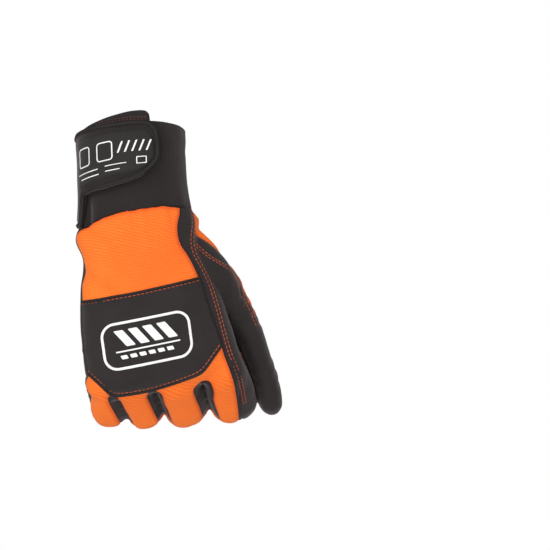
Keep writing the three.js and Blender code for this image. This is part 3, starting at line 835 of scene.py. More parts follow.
def suede(name, dark, light, depth=0.12, scale=1.0):
    look = Look(name, IOR=1.34, Sheen_Weight=0.26, Sheen_Roughness=0.45, Sheen_Tint=(0.9, 0.8, 0.8, 1))
    u, v = look.flat()
    nap = look.noise(look.point(u * 2.2 * scale, v * 2.2 * scale), 1.0, 4.0, 0.65)
    cloud = look.noise(look.place(), 40.0, 3.0)
    # painted shade: the suede is darker within a few millimetres of each seam and edge, as in the seam
    # grooves
    suede_seam_shade = look.seam().part(0.0, 2.5)
    shade = (nap * 0.6 + cloud * 0.55 + suede_seam_shade * 0.25).part(0.35, 1.05)
    look.give(Base_Color=look.mix(shade, dark, light), Roughness=nap * 0.2 + 0.66)
    look.bump(nap, depth, 0.8)
    return look.material


def embossed(name, dark, light):
    look = Look(name, IOR=1.45)
    u, v = look.flat()
    at = look.point(u / CELL, v / CELL)
    cells = look.node("ShaderNodeTexVoronoi", {"feature": "DISTANCE_TO_EDGE"},
                      {"Vector": at, "Scale": 1.0, "Randomness": 0.12})
    raised = cells.part(0.04, 0.26)
    grain = look.noise(look.point(u * 2.6, v * 2.6), 1.0, 3.0)
    height = raised * look.seam().part(0.6, 2.2)
    shade = height * 0.75 + grain * 0.25
    look.give(Base_Color=look.mix(shade, dark, light), Roughness=grain * 0.25 + 0.42)
    look.bump(height * 0.85 + grain * 0.15, 0.45, 0.9)
    return look.material


def knit(name, dark, light):
    look = Look(name, IOR=1.34, Sheen_Weight=0.22, Sheen_Roughness=0.5, Sheen_Tint=(0.85, 0.75, 0.75, 1))
    u, v = look.flat()
    wale = (u * (2 * math.pi / WALE)).sine() * 0.5 + 0.5
    loops = ((v + wale * 0.45) * (2 * math.pi / LOOP)).sine() * 0.5 + 0.5
    cloud = look.noise(look.place(), 30.0, 3.0)
    grain = look.noise(look.point(u * 3, v * 3), 1.0, 3.0)
    shade = (wale * 0.3 + loops * 0.15 + cloud * 0.5 + grain * 0.3).part(0.3, 1.05)
    look.give(Base_Color=look.mix(shade, dark, light), Roughness=grain * 0.15 + 0.72)
    look.bump(wale * 0.7 + loops * 0.3, 0.16, 0.6)
    return look.material


def plain(name, dark, light, rough=0.6, scale=900.0, depth=0.08):
    """Thread, binding tape and print: small pieces with fine grain."""
    look = Look(name, IOR=1.4)
    grain = look.noise(look.place(), scale, 2.0)
    cloud = look.noise(look.place(), 60.0, 2.0)
    shade = (grain * 0.6 + cloud * 0.5).part(0.3, 0.8)
    look.give(Base_Color=look.mix(shade, dark, light), Roughness=grain * 0.2 + (rough - 0.1))
    look.bump(grain, depth, 0.6)
    return look.material


ORANGE = orange_cloth("orange_fabric", (0.78, 0.084, 0.006), (0.97, 0.203, 0.019))
BLACK = suede("black_fabric", (0.0066, 0.0042, 0.0043), (0.0205, 0.0148, 0.0146))
PATCH = suede("patch_suede", (0.007, 0.0046, 0.0048), (0.0215, 0.016, 0.016), 0.16, 0.8)
LEATHER = suede("black_leather", (0.0064, 0.0048, 0.0049), (0.0185, 0.015, 0.0148), 0.14, 0.7)
GRIP = embossed("grip_leather", (0.011, 0.011, 0.012), (0.072, 0.072, 0.075))
KNIT = knit("cuff_fabric", (0.0066, 0.0042, 0.0043), (0.02, 0.0144, 0.0142))
EDGE = plain("edge_tape", (0.0058, 0.0038, 0.0041), (0.017, 0.0122, 0.0124), 0.7)
THREAD = plain("orange_thread", (0.27, 0.046, 0.018), (0.54, 0.105, 0.043), 0.55)
LABEL = suede("label_cloth", (0.0066, 0.006, 0.0058), (0.021, 0.019, 0.0182), 0.1)
DARK_THREAD = plain("dark_thread", (0.006, 0.005, 0.005), (0.02, 0.015, 0.016), 0.55)
BROWN_THREAD = plain("brown_thread", (0.05, 0.018, 0.016), (0.13, 0.045, 0.038))
PRINT = plain("print", (0.72, 0.71, 0.7), (0.9, 0.89, 0.88), scale=700.0, depth=0.03)


def finish_piece(made, material, *nodes, slot=None):
    made.data.materials.clear()
    made.data.materials.append(material)
    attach(made, "root")
    if nodes:
        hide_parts(*nodes)
    return made


# ---------------------------------------------------------------- thread and edging

# length, gap and radius of the stitches
ORANGE_STITCH = (2.6, 0.35, 0.37)
STRAP_STITCH = (1.9, 0.7, 0.34)
FLAP_STITCH = (1.7, 0.6, 0.3)
TONGUE_STITCH = (2.2, 0.3, 0.36)
STITCH_LIFT = 0.05
EDGING_STEP = 1.6
EDGING_SIDES = 8
CLOSED_WITHIN = 1.0


def one_stitch(length, radius):
    """A stitch lying along X, a little flattened."""
    bpy.ops.object.select_all(action="DESELECT")
    bpy.ops.mesh.primitive_uv_sphere_add(segments=8, ring_count=4, radius=1)
    made = bpy.context.object
    bpy.ops.object.mode_set(mode="EDIT")
    bpy.ops.mesh.select_all(action="SELECT")
    bpy.ops.transform.rotate(value=math.pi / 2, orient_axis="Y", center_override=(0, 0, 0))
    bpy.ops.transform.resize(value=(length / 2, radius, radius * 0.8), center_override=(0, 0, 0))
    bpy.ops.object.mode_set(mode="OBJECT")
    points = np.array([v.co[:] for v in made.data.vertices])
    faces = [tuple(p.vertices) for p in made.data.polygons]
    bpy.data.objects.remove(made)
    return points, faces


def spaced(points, normals, step):
    """Evenly spaced points and normals along a line."""
    gaps = np.linalg.norm(np.diff(points, axis=0), axis=1)
    done = np.concatenate([[0], np.cumsum(gaps)])
    count = max(int(done[-1] / step), 2)
    at = np.linspace(0, done[-1], count + 1)
    place, out = (np.stack([np.interp(at, done, rows[:, k]) for k in range(3)], axis=1)
                  for rows in (points, normals))
    for _ in range(2):
        place[1:-1] = place[1:-1] * 0.5 + (place[:-2] + place[2:]) * 0.25
    out /= np.linalg.norm(out, axis=1, keepdims=True) + TINY
    return place, out


def smooth_piece(name, points, faces, material):
    """Parts of a row or a line as one smooth piece."""
    made = new_object(name, np.vstack(points), faces)
    made.data.polygons.foreach_set("use_smooth", [True] * len(made.data.polygons))
    return finish_piece(made, material)


def stitches(name, lines, material, length, gap, radius):
    """A row of stitches along each line, as one piece."""
    shape, shape_faces = one_stitch(length, radius)
    all_points, all_faces = [], []
    for points, normals in lines:
        place, out = spaced(points, normals, length + gap)
        ways = place[1:] - place[:-1]
        middles = (place[1:] + place[:-1]) / 2
        outs = (out[1:] + out[:-1]) / 2
        for middle, way, normal in zip(middles, ways, outs):
            x = way / (np.linalg.norm(way) + TINY)
            z = normal - x * (normal @ x)
            z /= np.linalg.norm(z) + TINY
            y = np.cross(z, x)
            start = len(all_points) * len(shape)
            all_points.append(middle + z * STITCH_LIFT + shape @ np.array([x, y, z]))
            all_faces += [tuple(i + start for i in face) for face in shape_faces]
    smooth_piece(name, all_points, all_faces, material)


def edging(name, lines, material, width, height, lift):
    """A rounded edge laid along each line."""
    turn = np.linspace(0, 2 * math.pi, EDGING_SIDES, endpoint=False)
    ring = np.stack([np.cos(turn) * width / 2, np.sin(turn) * height / 2], axis=1)
    all_points, all_faces, start = [], [], 0
    for points, normals in lines:
        closed = np.linalg.norm(points[0] - points[-1]) < CLOSED_WITHIN
        place, out = spaced(points, normals, EDGING_STEP)
        if closed:
            place, out = place[:-1], out[:-1]
        before, after = np.roll(place, 1, axis=0), np.roll(place, -1, axis=0)
        if not closed:
            before[0], after[-1] = place[0], place[-1]
        x = after - before
        x /= np.linalg.norm(x, axis=1, keepdims=True) + TINY
        z = out - x * (out * x).sum(axis=1, keepdims=True)
        z /= np.linalg.norm(z, axis=1, keepdims=True) + TINY
        y = np.cross(z, x)
        rows = (place + z * lift)[:, None] + ring[None, :, :1] * y[:, None] + ring[None, :, 1:] * z[:, None]
        all_points.append(rows.reshape(-1, 3))
        count = len(place)
        for r in range(count if closed else count - 1):
            here, there = start + r * EDGING_SIDES, start + (r + 1) % count * EDGING_SIDES
            for i in range(EDGING_SIDES):
                j = (i + 1) % EDGING_SIDES
                all_faces.append((here + i, here + j, there + j, there + i))
        if not closed:
            last = start + (count - 1) * EDGING_SIDES
            all_faces.append(tuple(start + i for i in reversed(range(EDGING_SIDES))))
            all_faces.append(tuple(last + i for i in range(EDGING_SIDES)))
        start += count * EDGING_SIDES
    pick(smooth_piece(name, all_points, all_faces, material))
    bpy.ops.object.mode_set(mode="EDIT")
    bpy.ops.mesh.select_all(action="SELECT")
    bpy.ops.mesh.normals_make_consistent(inside=False)
    bpy.ops.object.mode_set(mode="OBJECT")


# ---------------------------------------------------------------- folds

# height and wavelength in millimetres, and seed, of the slight rise and fall of the cloths
GLOVE_WAVES = ((0.42, 30, 3), (0.10, 8, 5))
FINGER_WAVE = (0.16, 14, 11)
CUFF_WAVES = ((0.28, 34, 21), (0.08, 9, 23))
# widths of the folds, and the places between which those of the hand fade, in millimetres
GATHER_WIDTH = 15
CREASE_WIDTH = 13
JOINT_CREASE = 5.6
THUMB_CREASE = 9
WRIST_FOLDS_END = (95, 112)
# middle lines of two hollows on the little finger's side of the back, as across and place, in millimetres
LONG_VALLEY = [(-38, 6), (-25, 16), (-23, 34), (-28, 44)]
SHORT_VALLEY = [(-46, 26), (-36, 40), (-27, 47)]
# the seam's measure goes no further than this from a seam
SEAM_FAR = 30
SEAM_DEPTH = 0.85
SEAM_WIDTH = 1.3
PANEL_PUFF = 0.3


def on_hand(cloth):
    """Across the hand and along it."""
    return cloth["hand"][:, [1, 0]]


def folds(cloth):
    """How far folds, creases and the hand inside lift the cloth, in millimetres."""
    point = cloth["point"]
    s, across, palm = cloth["hand"].T
    lift = uneven_cloth(point, GLOVE_WAVES)
    near_wrist = 1 - smoothstep(s, *WRIST_FOLDS_END)
    behind = 1 - smoothstep(palm, -6, 4)
    gather = np.sin(across * 2 * math.pi / GATHER_WIDTH + 0.8 * np.sin(across / 9))
    gather = gather + 0.5 * np.sin(across * 2 * math.pi / 8.3)
    lift += near_wrist * 0.45 * gather * bell(s, 18)
    lift += near_wrist * 0.9 * bell(s - 8, 7) * smoothstep(-across, 8, 40)
    lift -= near_wrist * behind * 2.3 * bell(line_distance(on_hand(cloth), LONG_VALLEY), 5)
    lift -= near_wrist * behind * 1.7 * bell(line_distance(on_hand(cloth), SHORT_VALLEY), 4.5)
    creases = np.sin(s * 2 * math.pi / CREASE_WIDTH + across / 14)
    creases = creases * bell(s - 40, 30) * smoothstep(palm, 8, 18)
    lift += near_wrist * 0.35 * creases
    for name, finger in FINGERS.items():
        place, side_way, depth = cloth[name].T
        reach = np.hypot(side_way / finger["half_width"], depth / finger["half_depth"])
        on_finger = (1 - smoothstep(reach, 1.2, 1.4)) * smoothstep(place, 10, 22)
        inner = smoothstep(depth / finger["half_depth"], -0.35, 0.5)
        for joint in finger["joints"][1:]:
            ripple = np.cos((place - joint) * 2 * math.pi / JOINT_CREASE + 0.3 * np.sin(side_way / 3))
            lift += on_finger * inner * 0.28 * ripple * bell(place - joint, 8)
            lift += on_finger * (1 - inner) * 0.08 * ripple * bell(place - joint, 12)
        lift += on_finger * FINGER_WAVE[0] * unevenness(point, *FINGER_WAVE[1:])
    for pair in NEIGHBOURS:
        lift -= 1.7 * smoothstep(oval_value(cloth, *pair), -1.2, 3.2)
    _, depth, out = cloth["thumb"].T
    on_thumb = (1 - smoothstep(out, 1.5, 4)) * smoothstep(across, 40, 52)
    ripple = np.sin((s + 0.5 * depth) * 2 * math.pi / THUMB_CREASE)
    lift += on_thumb * 0.3 * ripple * (bell(s - 78, 16) + bell(s - 128, 14))
    return lift


def set_seams(cloths):
    """Moves every panel by its folds and sinks it along its seams."""
    edged = [cloth for name, cloth in cloths.items() if name not in ("thumb", "index_side")]
    edges = np.vstack([cloth["point"][cloth.border()] for cloth in edged])
    tree = KDTree(len(edges))
    for i, point in enumerate(edges):
        tree.insert(point, i)
    tree.balance()
    for cloth in cloths.values():
        near = np.array([tree.find(point)[2] for point in cloth["point"]])
        height = folds(cloth) - SEAM_DEPTH * bell(near, SEAM_WIDTH) + PANEL_PUFF * smoothstep(near, 0.5, 5)
        cloth.lift(height)
        cloth["seam"][:] = np.minimum(near, SEAM_FAR)[:, None]


# ---------------------------------------------------------------- panels

# how far a panel is cut into its neighbours' edges, and which of its parts are scraps
SLACK = 0.3
SCRAP_SHARE = 0.12
SMALLEST_PART = 20
# places and reaches of the panels, in millimetres
STRIP_BLEND = 4.0
BEYOND_BACK = 10
OVAL_DEPTH = 30
THUMB_START = 24
THUMB_REACH_OUT = 1.7
THUMB_BACK_END = 93
INDEX_SIDE_END = 114
INDEX_SIDE_START = -12
GUSSET_START = 4


def index_seam(cloth):
    s, across, _ = cloth["hand"].T
    return curve(INDEX_SEAM, 1, s / HAND_LENGTH) * HAND_HALF_BREADTH - across


def side_seam(cloth):
    """The seam along the little finger's side of the hand; over the knuckles it lies further back."""
    s, _, palm = cloth["hand"].T
    return -1.1 - 4.4 * smoothstep(s, 30, 52) - palm


def oval_value(cloth, near, far):
    """The dark oval between two knuckles."""
    reach, line = OVALS[near, far]
    return inside_all(reach - line_distance(on_hand(cloth), line), OVAL_DEPTH - cloth["hand"][:, 2])


def back_value(cloth):
    value = inside_all(index_seam(cloth), side_seam(cloth), HAND_LENGTH - cloth["hand"][:, 0])
    for name in FINGERS:
        value = soft_max(value, strip_value(cloth, name), STRIP_BLEND)
    return inside_all(value, index_seam(cloth), *(-oval_value(cloth, *pair) for pair in NEIGHBOURS))


def side_share(name, way, s):
    """How far the orange back of a finger reaches to one side: more where the finger bends away."""
    share = FINGERS[name]["strip"][0 if way < 0 else 1]
    if (name, way) == ("little", -1):
        return share + 0 * s
    return share + (-0.32 if (name, way) == ("index", 1) else 0.22) * smoothstep(s, 14, 44)


def on_finger_back(cloth, name, palm_edge, *others):
    """Inside a finger's orange width, on its back side of palm_edge, and inside the others."""
    finger = FINGERS[name]
    s, across, palm = cloth[name].T
    low, high = (side_share(name, way, s) * finger["half_width"] for way in (-1, 1))
    depth = finger["half_depth"]
    return inside_all(*others, across + low, high - across, palm_edge * depth - palm,
                      palm + depth + BEYOND_BACK)


def strip_value(cloth, name):
    s, across, _ = cloth[name].T
    edge = -0.2 + (0.55 * smoothstep(-across, 2, 8) if name == "little" else 0)
    return on_finger_back(cloth, name, edge, s - 2, FINGERS[name]["cap_start"] - s)


def cap_value(cloth, name):
    return on_finger_back(cloth, name, -0.1, cloth[name][:, 0] - FINGERS[name]["cap_start"])


def side_value(cloth, name, way, start):
    """The black side of a finger, between its orange back and its palm side."""
    finger = FINGERS[name]
    s, across, palm = cloth[name].T
    width, depth = finger["half_width"], finger["half_depth"]
    reach = side_share(name, way, s) * width
    return inside_all(s - start, way * across - reach, width + 1.8 - way * across, 0.55 * depth - palm,
                      palm + depth + BEYOND_BACK)


def thumb_back_value(cloth):
    s = cloth["hand"][:, 0]
    across, palm, _ = cloth["thumb"].T
    width = curve(THUMB_SECTIONS, 3, s / THUMB_REACH) * THUMB_HALF_WIDTH
    depth = curve(THUMB_SECTIONS, 4, s / THUMB_REACH) * THUMB_HALF_DEPTH
    taper = np.sqrt(np.clip(1 - np.clip(s / THUMB_BACK_END, 0, 1) ** 3, 0, 1))
    middle = 0.1 * depth
    share = 0.62 + 0.26 * smoothstep(s, 34, 60)
    behind = 0.72 - 0.22 * smoothstep(s, 36, 60) - 0.36 * bell(s - 46, 12)
    return inside_all(across - share * width, palm - middle + behind * depth * taper,
                      middle + 0.7 * depth * taper - palm, THUMB_BACK_END - s)


def thumb_value(cloth):
    s, across, _ = cloth["hand"].T
    seam = curve(THUMB_SEAM, 1, s / HAND_LENGTH) * HAND_HALF_BREADTH
    return inside_all(across - seam, THUMB_REACH_OUT - cloth["thumb"][:, 2], s - THUMB_START)


def index_side_value(cloth):
    s, _, palm = cloth["hand"].T
    beside = inside_all(-index_seam(cloth), 4.4 - palm, INDEX_SIDE_END - s)
    return np.maximum(beside, side_value(cloth, "index", 1, INDEX_SIDE_START))


def gusset_value(cloth, near, far):
    sides = [side_value(cloth, name, way, GUSSET_START) for name, way in ((near, -1), (far, 1))]
    return np.maximum.reduce([*sides, oval_value(cloth, near, far)])


def sag(across):
    """How much lower than its middle the cuff's end is, towards its sides."""
    return 3.4 * smoothstep(-across, 12, 38) + 2.2 * smoothstep(across, 16, 36)


# panel, its value and what that is asked about, and how far it is cut into its neighbours' edges
PANEL_CUTS = [
    ("thumb_back", thumb_back_value, (), 0),
    ("back", back_value, (), 0),
    *((f"{name}_cap", cap_value, (name,), SLACK) for name in FINGERS),
    ("thumb", thumb_value, (), SLACK),
    ("index_side", index_side_value, (), SLACK),
    *((f"{near}_{far}_side", gusset_value, (near, far), SLACK) for near, far in NEIGHBOURS),
]


def cut_panels():
    """Cuts the skin into panels; small scraps stay with the rest, which becomes the palm."""
    s, across, palm = skin["hand"].T
    rest = skin.cut(s + 0.2 - sag(across) * (palm < 0))[0].largest()
    cut = {}
    for name, value_of, about, slack in PANEL_CUTS:
        inside, rest = rest.cut(value_of(rest, *about) + slack)
        sizes = inside.part_sizes()
        large = sizes > SCRAP_SHARE * sizes.max()
        cut[name] = inside.kept(inside.faces[large])
        if not large.all():
            rest = rest.joined(inside.kept(inside.faces[~large]))
    cut["palm"] = rest.kept(rest.faces[rest.part_sizes() > SMALLEST_PART])
    set_seams(cut)
    return cut


# panel, its material, what it stands for and its slot
STANDS_FOR = {
    "thumb_back": (ORANGE, ["thumb_back_panel"], "orange_fabric"),
    "back": (ORANGE, ["back_panel", *(f"{name}_back" for name in FINGERS)], "orange_fabric"),
    "thumb": (BLACK, ["thumb_panel"], "black_fabric"),
    "index_side": (BLACK, ["index_side_strip"], "black_fabric"),
    "palm": (LEATHER, ["palm_panel", *(f"{name}_front" for name in FINGERS)], "black_leather"),
    **{f"{name}_cap": (LEATHER, [f"{name}_tip_cap"], "black_leather") for name in FINGERS},
    **{f"{a}_{b}_side": (BLACK, [f"{a}_{b}_gusset"], "black_fabric") for a, b in NEIGHBOURS},
}

panels = cut_panels()
for panel_name, panel in panels.items():
    cloth_look, stood_for, cloth_slot = STANDS_FOR[panel_name]
    finish_piece(panel.to_object(f"{panel_name}_cloth", PANEL_WALL), cloth_look, *stood_for, slot=cloth_slot)

# ---------------------------------------------------------------- what is sewn on

# outlines on the hand, as across and place, in millimetres
PATCH_OUTLINE = soft_outline([
    (-66, 47.5), (-8, 47.9), (60, 46.2), (60, 78), (39.9, 97.1), (22.6, 113.3), (0.9, 116.5), (-20.6, 117.8),
    (-41, 117), (-53, 100), (-66, 84),
])
GRIP_SEAM = [(-23.2, 21.6), (-10.8, 50.4), (1.1, 72), (11.9, 91.2), (21.6, 112.8)]
HEEL_OUTLINE = soft_outline([(a - 0.5, s) for a, s in GRIP_SEAM] + [
    (-48.6, 112.8), (-50.2, 84), (-46.4, 50.4), (-37.8, 31.2)])
THENAR_OUTLINE = soft_outline([(a + 0.5, s) for a, s in GRIP_SEAM] + [
    (43.2, 112.8), (44.3, 74.4), (43.2, 40.8), (21.6, 19.2), (0, 15.6)])
GRIP_DEPTH = 4.4
THUMB_GRIP_START = 95
THUMB_GRIP_END = 143
PRINT_LIFT = 0.14


def patch_edge(cloth):
    return inside_outline(on_hand(cloth), PATCH_OUTLINE)


def patch_value(cloth):
    return inside_all(patch_edge(cloth), side_seam(cloth) - 0.3, index_seam(cloth) - 0.2)


def palm_grip_value(cloth, outline):
    return inside_all(inside_outline(on_hand(cloth), outline), cloth["hand"][:, 2] - GRIP_DEPTH)


def heel_value(cloth):
    return palm_grip_value(cloth, HEEL_OUTLINE)


def thenar_value(cloth):
    return palm_grip_value(cloth, THENAR_OUTLINE)


def thumb_grip_value(cloth):
    s = cloth["hand"][:, 0]
    across, palm, out = cloth["thumb"].T
    depth = curve(THUMB_SECTIONS, 4, s / THUMB_REACH) * THUMB_HALF_DEPTH
    return inside_all(s - THUMB_GRIP_START, THUMB_GRIP_END - s, -1.6 - across, palm + 0.6 * depth,
                      0.78 * depth - palm, 2.5 - out)


def patch_height(d):
    """The patch's padded form: a rolled edge, the dent that its stitches pull, and a full middle."""
    return 0.6 + 0.4 * bell(d - 0.8, 0.8) - 0.3 * bell(d - 2.5, 0.7) + 1.4 * smoothstep(d, 2.4, 13)


def grip_height(d):
    return 0.55 + 0.75 * smoothstep(d, 0, 1.2) - 0.3 * bell(d - 1.7, 0.5) - 0.3 * bell(d - 4.2, 0.5)


def layer(whole, value_of, fold, height):
    """A layer of a cloth, lifted by its folds and by a height that depends on how far inside it is."""
    cloth = whole.cut(value_of(whole))[0].largest()
    value = value_of(cloth)
    cloth.lift(fold(cloth) + height(value))
    cloth["seam"][:] = np.clip(value, 0, SEAM_FAR)[:, None]
    return cloth


def printed(name, cloth, marks, threshold=0):
    """A thin print on a cloth, where one of the marks is above the threshold."""
    shown = cloth.cut(np.maximum.reduce(marks) - threshold)[0]
    shown.lift(PRINT_LIFT)
    finish_piece(shown.to_object(name, PRINT_WALL), PRINT)


patch = layer(skin, patch_value, folds, patch_height)
knuckle_patch = finish_piece(
    patch.to_object("knuckle_patch", PATCH_WALL), PATCH, "back_patch", slot="black_fabric")
GRIPS = {"heel_grip": heel_value, "thenar_grip": thenar_value, "thumb_grip": thumb_grip_value}
grips = {grip_name: layer(skin, value_of, folds, grip_height) for grip_name, value_of in GRIPS.items()}
for grip_name, grip in grips.items():
    finish_piece(grip.to_object(f"{grip_name}_piece", GRIP_WALL), GRIP, grip_name, slot="grip_leather")


def patch_marks(flat):
    """A frame round a row of bars, a line and a row of small blocks."""
    ring = rounded_box(flat, (-10.0, 82.2), (30.5, 16.2), 9.5, slant=-0.06)
    marks = [0.85 - np.abs(ring - 0.85)]
    marks += [rounded_box(flat, (x, 77.4), (3.1, 5.8), 0.5, slant=0.6) for x in (-24.5, -14.8, -5.1, 4.6)]
    marks += [rounded_box(flat, (-10, 86.2), (22, 0.5), 0.3)]
    marks += [rounded_box(flat, (x, 90.2), (2.2, 1.3), 0.4, slant=0.3) for x in np.arange(-27, 7, 6.3)]
    return marks


patch_front = patch.finer()
printed("patch_print", patch_front, patch_marks(on_hand(patch_front)))

# ---------------------------------------------------------------- cuff

# millimetres to a degree round the cuff
ARC = math.radians(1) * 35
FLAP_OUT = LAYER_GAP + FLAP_WALL
STRAP_OUT = LAYER_GAP + FLAP_WALL + LAYER_GAP + STRAP_WALL
LABEL_INSET = 5.6
CUFF_ROUND = (-240, 120)
FLAP_ROUND = (-20, 140)
STRAP_ROUND = (-29, 198)
LABEL_ROUND = (-24, 72)
CUFF_TUCK = 2.2
CUFF_TUCK_PLACES = (59.0, 60.6)
RIM_PLACE = 1.3
SEWN_STEP = 1.5


def cuff_points(turn, place, out):
    turn = np.radians(turn)
    a = curve(CUFF_SECTIONS, 1, place) * CUFF_HALF_WIDTH
    b = curve(CUFF_SECTIONS, 2, place) * CUFF_HALF_DEPTH
    normal = np.stack([-np.sin(turn) / a, -np.cos(turn) / b], axis=-1)
    normal /= np.linalg.norm(normal, axis=-1, keepdims=True)
    x = -np.sin(turn) * a + normal[..., 0] * out
    y = -np.cos(turn) * b + normal[..., 1] * out
    z = place * (x * math.tan(SEAM_TILT) - CUFF_LENGTH)
    z = z + 1.5 * (1 - smoothstep(place, 0, 0.4))
    z = z - np.clip(place, 0, 1) ** 3 * sag(x) * smoothstep(-y, 0, 10)
    return np.stack([x + 1.3 * bell(place, 0.4), y, z], axis=-1)


def wrap(out, turns, places, step):
    """A layer of the cuff as a cloth, with measures round it and down it."""
    across = np.linspace(*turns, int((turns[1] - turns[0]) * ARC / step))
    down = np.linspace(*places, int((places[1] - places[0]) * CUFF_LENGTH / step))
    turn, place = np.meshgrid(across, down)
    points = cuff_points(turn, place, out).reshape(-1, 3)
    n, m = turn.shape
    i = (np.arange(n - 1)[:, None] * m + np.arange(m - 1)).ravel()
    faces = np.vstack([np.stack([i, i + 1, i + m + 1], axis=1), np.stack([i, i + m + 1, i + m], axis=1)])
    flat = np.stack([turn.ravel() * ARC, place.ravel() * CUFF_LENGTH], axis=1)
    return Cloth.of(faces, point=points, normal=vertex_normals(points, faces), cloth=flat,
                    seam=np.full((len(points), 1), float(SEAM_FAR)))


def cuff_folds(cloth):
    arc, down = cloth["cloth"].T
    lift = uneven_cloth(cloth["point"], CUFF_WAVES)
    turn = arc / ARC * math.pi / 180
    gather = np.sin(turn * 17 + 0.7 * np.sin(turn * 3))
    lift += 0.3 * gather * bell(down - CUFF_LENGTH, 12) + 0.12 * gather * bell(down, 9)
    lift -= 0.35 * bell(down - 20 - 0.1 * arc, 4) * smoothstep(-arc, 12, 30)
    low = smoothstep(down, 40, 48)
    lift += low * (0.7 * bell(arc - 28, 6.5) - 1.3 * bell(arc - 37.5, 4) - 0.35 * bell(arc - 12, 7))
    return lift


def cuff_value(cloth):
    return inside_all(cloth["cloth"][:, 1] + 0.1, CUFF_LENGTH + 2.4 - cloth["cloth"][:, 1])


def cuff_height(d):
    return -0.9 * bell(d, 1.0)


def flap_height(d):
    return -0.5 * bell(d, 1.0) - 0.25 * bell(d - 3.0, 0.6)


def strap_height(d):
    return 0.1 - 0.75 * bell(d - 3.2, 0.7) + 0.1 * smoothstep(d, 4, 9)


def label_height(d):
    return 0.25 + 0.55 * smoothstep(d, 0, 1.4) + 0.25 * smoothstep(d, 2, 9)


# degrees round the cuff, share of the flap's rise above the rim
FLAP_TOP = [
    (-18.5, 0.62), (-17, 0.9), (-14.5, 1.02), (0, 0.95), (20, 0.66), (40, 0.40), (60, 0.20), (95, 0),
    (136, 0),
]
# degrees round the cuff, share of its length
FLAP_BOTTOM = [
    (136, 0.985), (78, 0.985), (72, 0.93), (67, 0.80), (58, 0.55), (0, 0.50), (-15, 0.45), (-18, 0.28),
]
FLAP_OUTLINE = soft_outline(
    [(turn * ARC, share * -FLAP_RISE) for turn, share in FLAP_TOP]
    + [(turn * ARC, place * CUFF_LENGTH) for turn, place in FLAP_BOTTOM], SEWN_STEP, 3)
# degrees round the cuff, and how far in from top and bottom the rounded end is, as shares of the height
STRAP_ENDS = [
    (-26.3, 0.50, 0.42), (-25.4, 0.28, 0.38), (-23.4, 0.12, 0.33), (-19, 0.03, 0.26), (-12, 0, 0.16),
    (-4, 0, 0.09), (8, 0, 0.04),
]
LABEL_ENDS = [
    (-20.3, 0.48, 0.41), (-19.4, 0.22, 0.36), (-17, 0.08, 0.29), (-12, 0.01, 0.19), (-4, 0, 0.08),
]


def strap_outline(ends, drop, height, others):
    top = [(turn * ARC, drop + above * height) for turn, above, _ in ends]
    bottom = [(turn * ARC, drop + (1 - below) * height) for turn, _, below in ends]
    return soft_outline(top + [(turn * ARC, down) for turn, down in others] + bottom[::-1], SEWN_STEP, 4)


STRAP_OUTLINE = strap_outline(STRAP_ENDS, STRAP_DROP, STRAP_HEIGHT, [
    (30, 1.4), (55, 0.4), (80, -0.2), (150, 0.3), (194, 1.5), (194, 42.5), (139, 42.5), (136, 58.6),
    (68, 58.6), (66, 50), (63, 41.5), (48, 40.5), (30, 42)])
LABEL_OUTLINE = strap_outline(
    LABEL_ENDS, STRAP_DROP + LABEL_INSET, STRAP_HEIGHT - 2 * LABEL_INSET, [(68, 7.1), (68, 36.9)])


def flap_value(cloth):
    return inside_outline(cloth["cloth"], FLAP_OUTLINE)


def strap_value(cloth):
    return inside_outline(cloth["cloth"], STRAP_OUTLINE)


def label_value(cloth):
    return inside_outline(cloth["cloth"], LABEL_OUTLINE)


cuff = layer(wrap(0, CUFF_ROUND, (-0.01, 1.05), 1.1), cuff_value, cuff_folds, cuff_height)
cuff["point"][:] -= cuff["normal"] * CUFF_TUCK * smoothstep(cuff["cloth"][:, 1:], *CUFF_TUCK_PLACES)
finish_piece(cuff.to_object("cuff_tube", CUFF_TUBE_WALL), KNIT, "cuff", slot="cuff_fabric")
edging("cuff_rim", cuff.line(cuff["cloth"][:, 1] - RIM_PLACE), KNIT, width=3.0, height=3.0, lift=-1.0)

flap = layer(wrap(FLAP_OUT, FLAP_ROUND, (-0.14, 1.0), 0.9), flap_value, cuff_folds, flap_height)
finish_piece(flap.to_object("flap_cloth", FLAP_CLOTH_WALL), KNIT, "cuff_flap", slot="cuff_fabric")

strap = layer(wrap(STRAP_OUT, STRAP_ROUND, (-0.02, 1.0), 0.8), strap_value, cuff_folds, strap_height)
strap_turn = strap["cloth"][:, 0] / ARC
strap.lift(-(1.1 * smoothstep(strap_turn, 50, 85) + 1.4 * smoothstep(strap_turn, 134, 148)))
finish_piece(strap.to_object("strap_cloth", STRAP_CLOTH_WALL), KNIT, "wrist_strap", slot="cuff_fabric")

label = layer(wrap(STRAP_OUT, LABEL_ROUND, (0.05, 0.72), 0.55), label_value, cuff_folds, label_height)
finish_piece(label.to_object("label_field", LABEL_WALL), LABEL, "strap_label", slot="label_print")


def label_marks(flat):
    """Two frames, a row of bars, four lines and a small frame."""
    marks = [1.0 - np.abs(rounded_box(flat, (x, 18.6), (5.4, 6.2), 2.4) - 0.5) * 1.8 for x in (33.5, 17.5)]
    marks += [rounded_box(flat, (x, 17.4), (0.85, 3.8), 0.4, slant=0.4)
              for x in (-9.0, -4.8, -0.6, 3.6, 7.8)]
    marks += [rounded_box(flat, (x, y), (half, 0.62), 0.3) for x, y, half in (
        (31.0, 28.6, 9.0), (11.0, 28.0, 7.0), (29.5, 32.0, 8.0), (13.0, 31.4, 5.0))]
    marks += [1.0 - np.abs(rounded_box(flat, (-4.5, 27.2), (3.2, 2.6), 0.5) - 0.4) * 2.2]
    return marks


printed("label_print_marks", label, label_marks(label["cloth"]), threshold=0.3)

# ---------------------------------------------------------------- seams

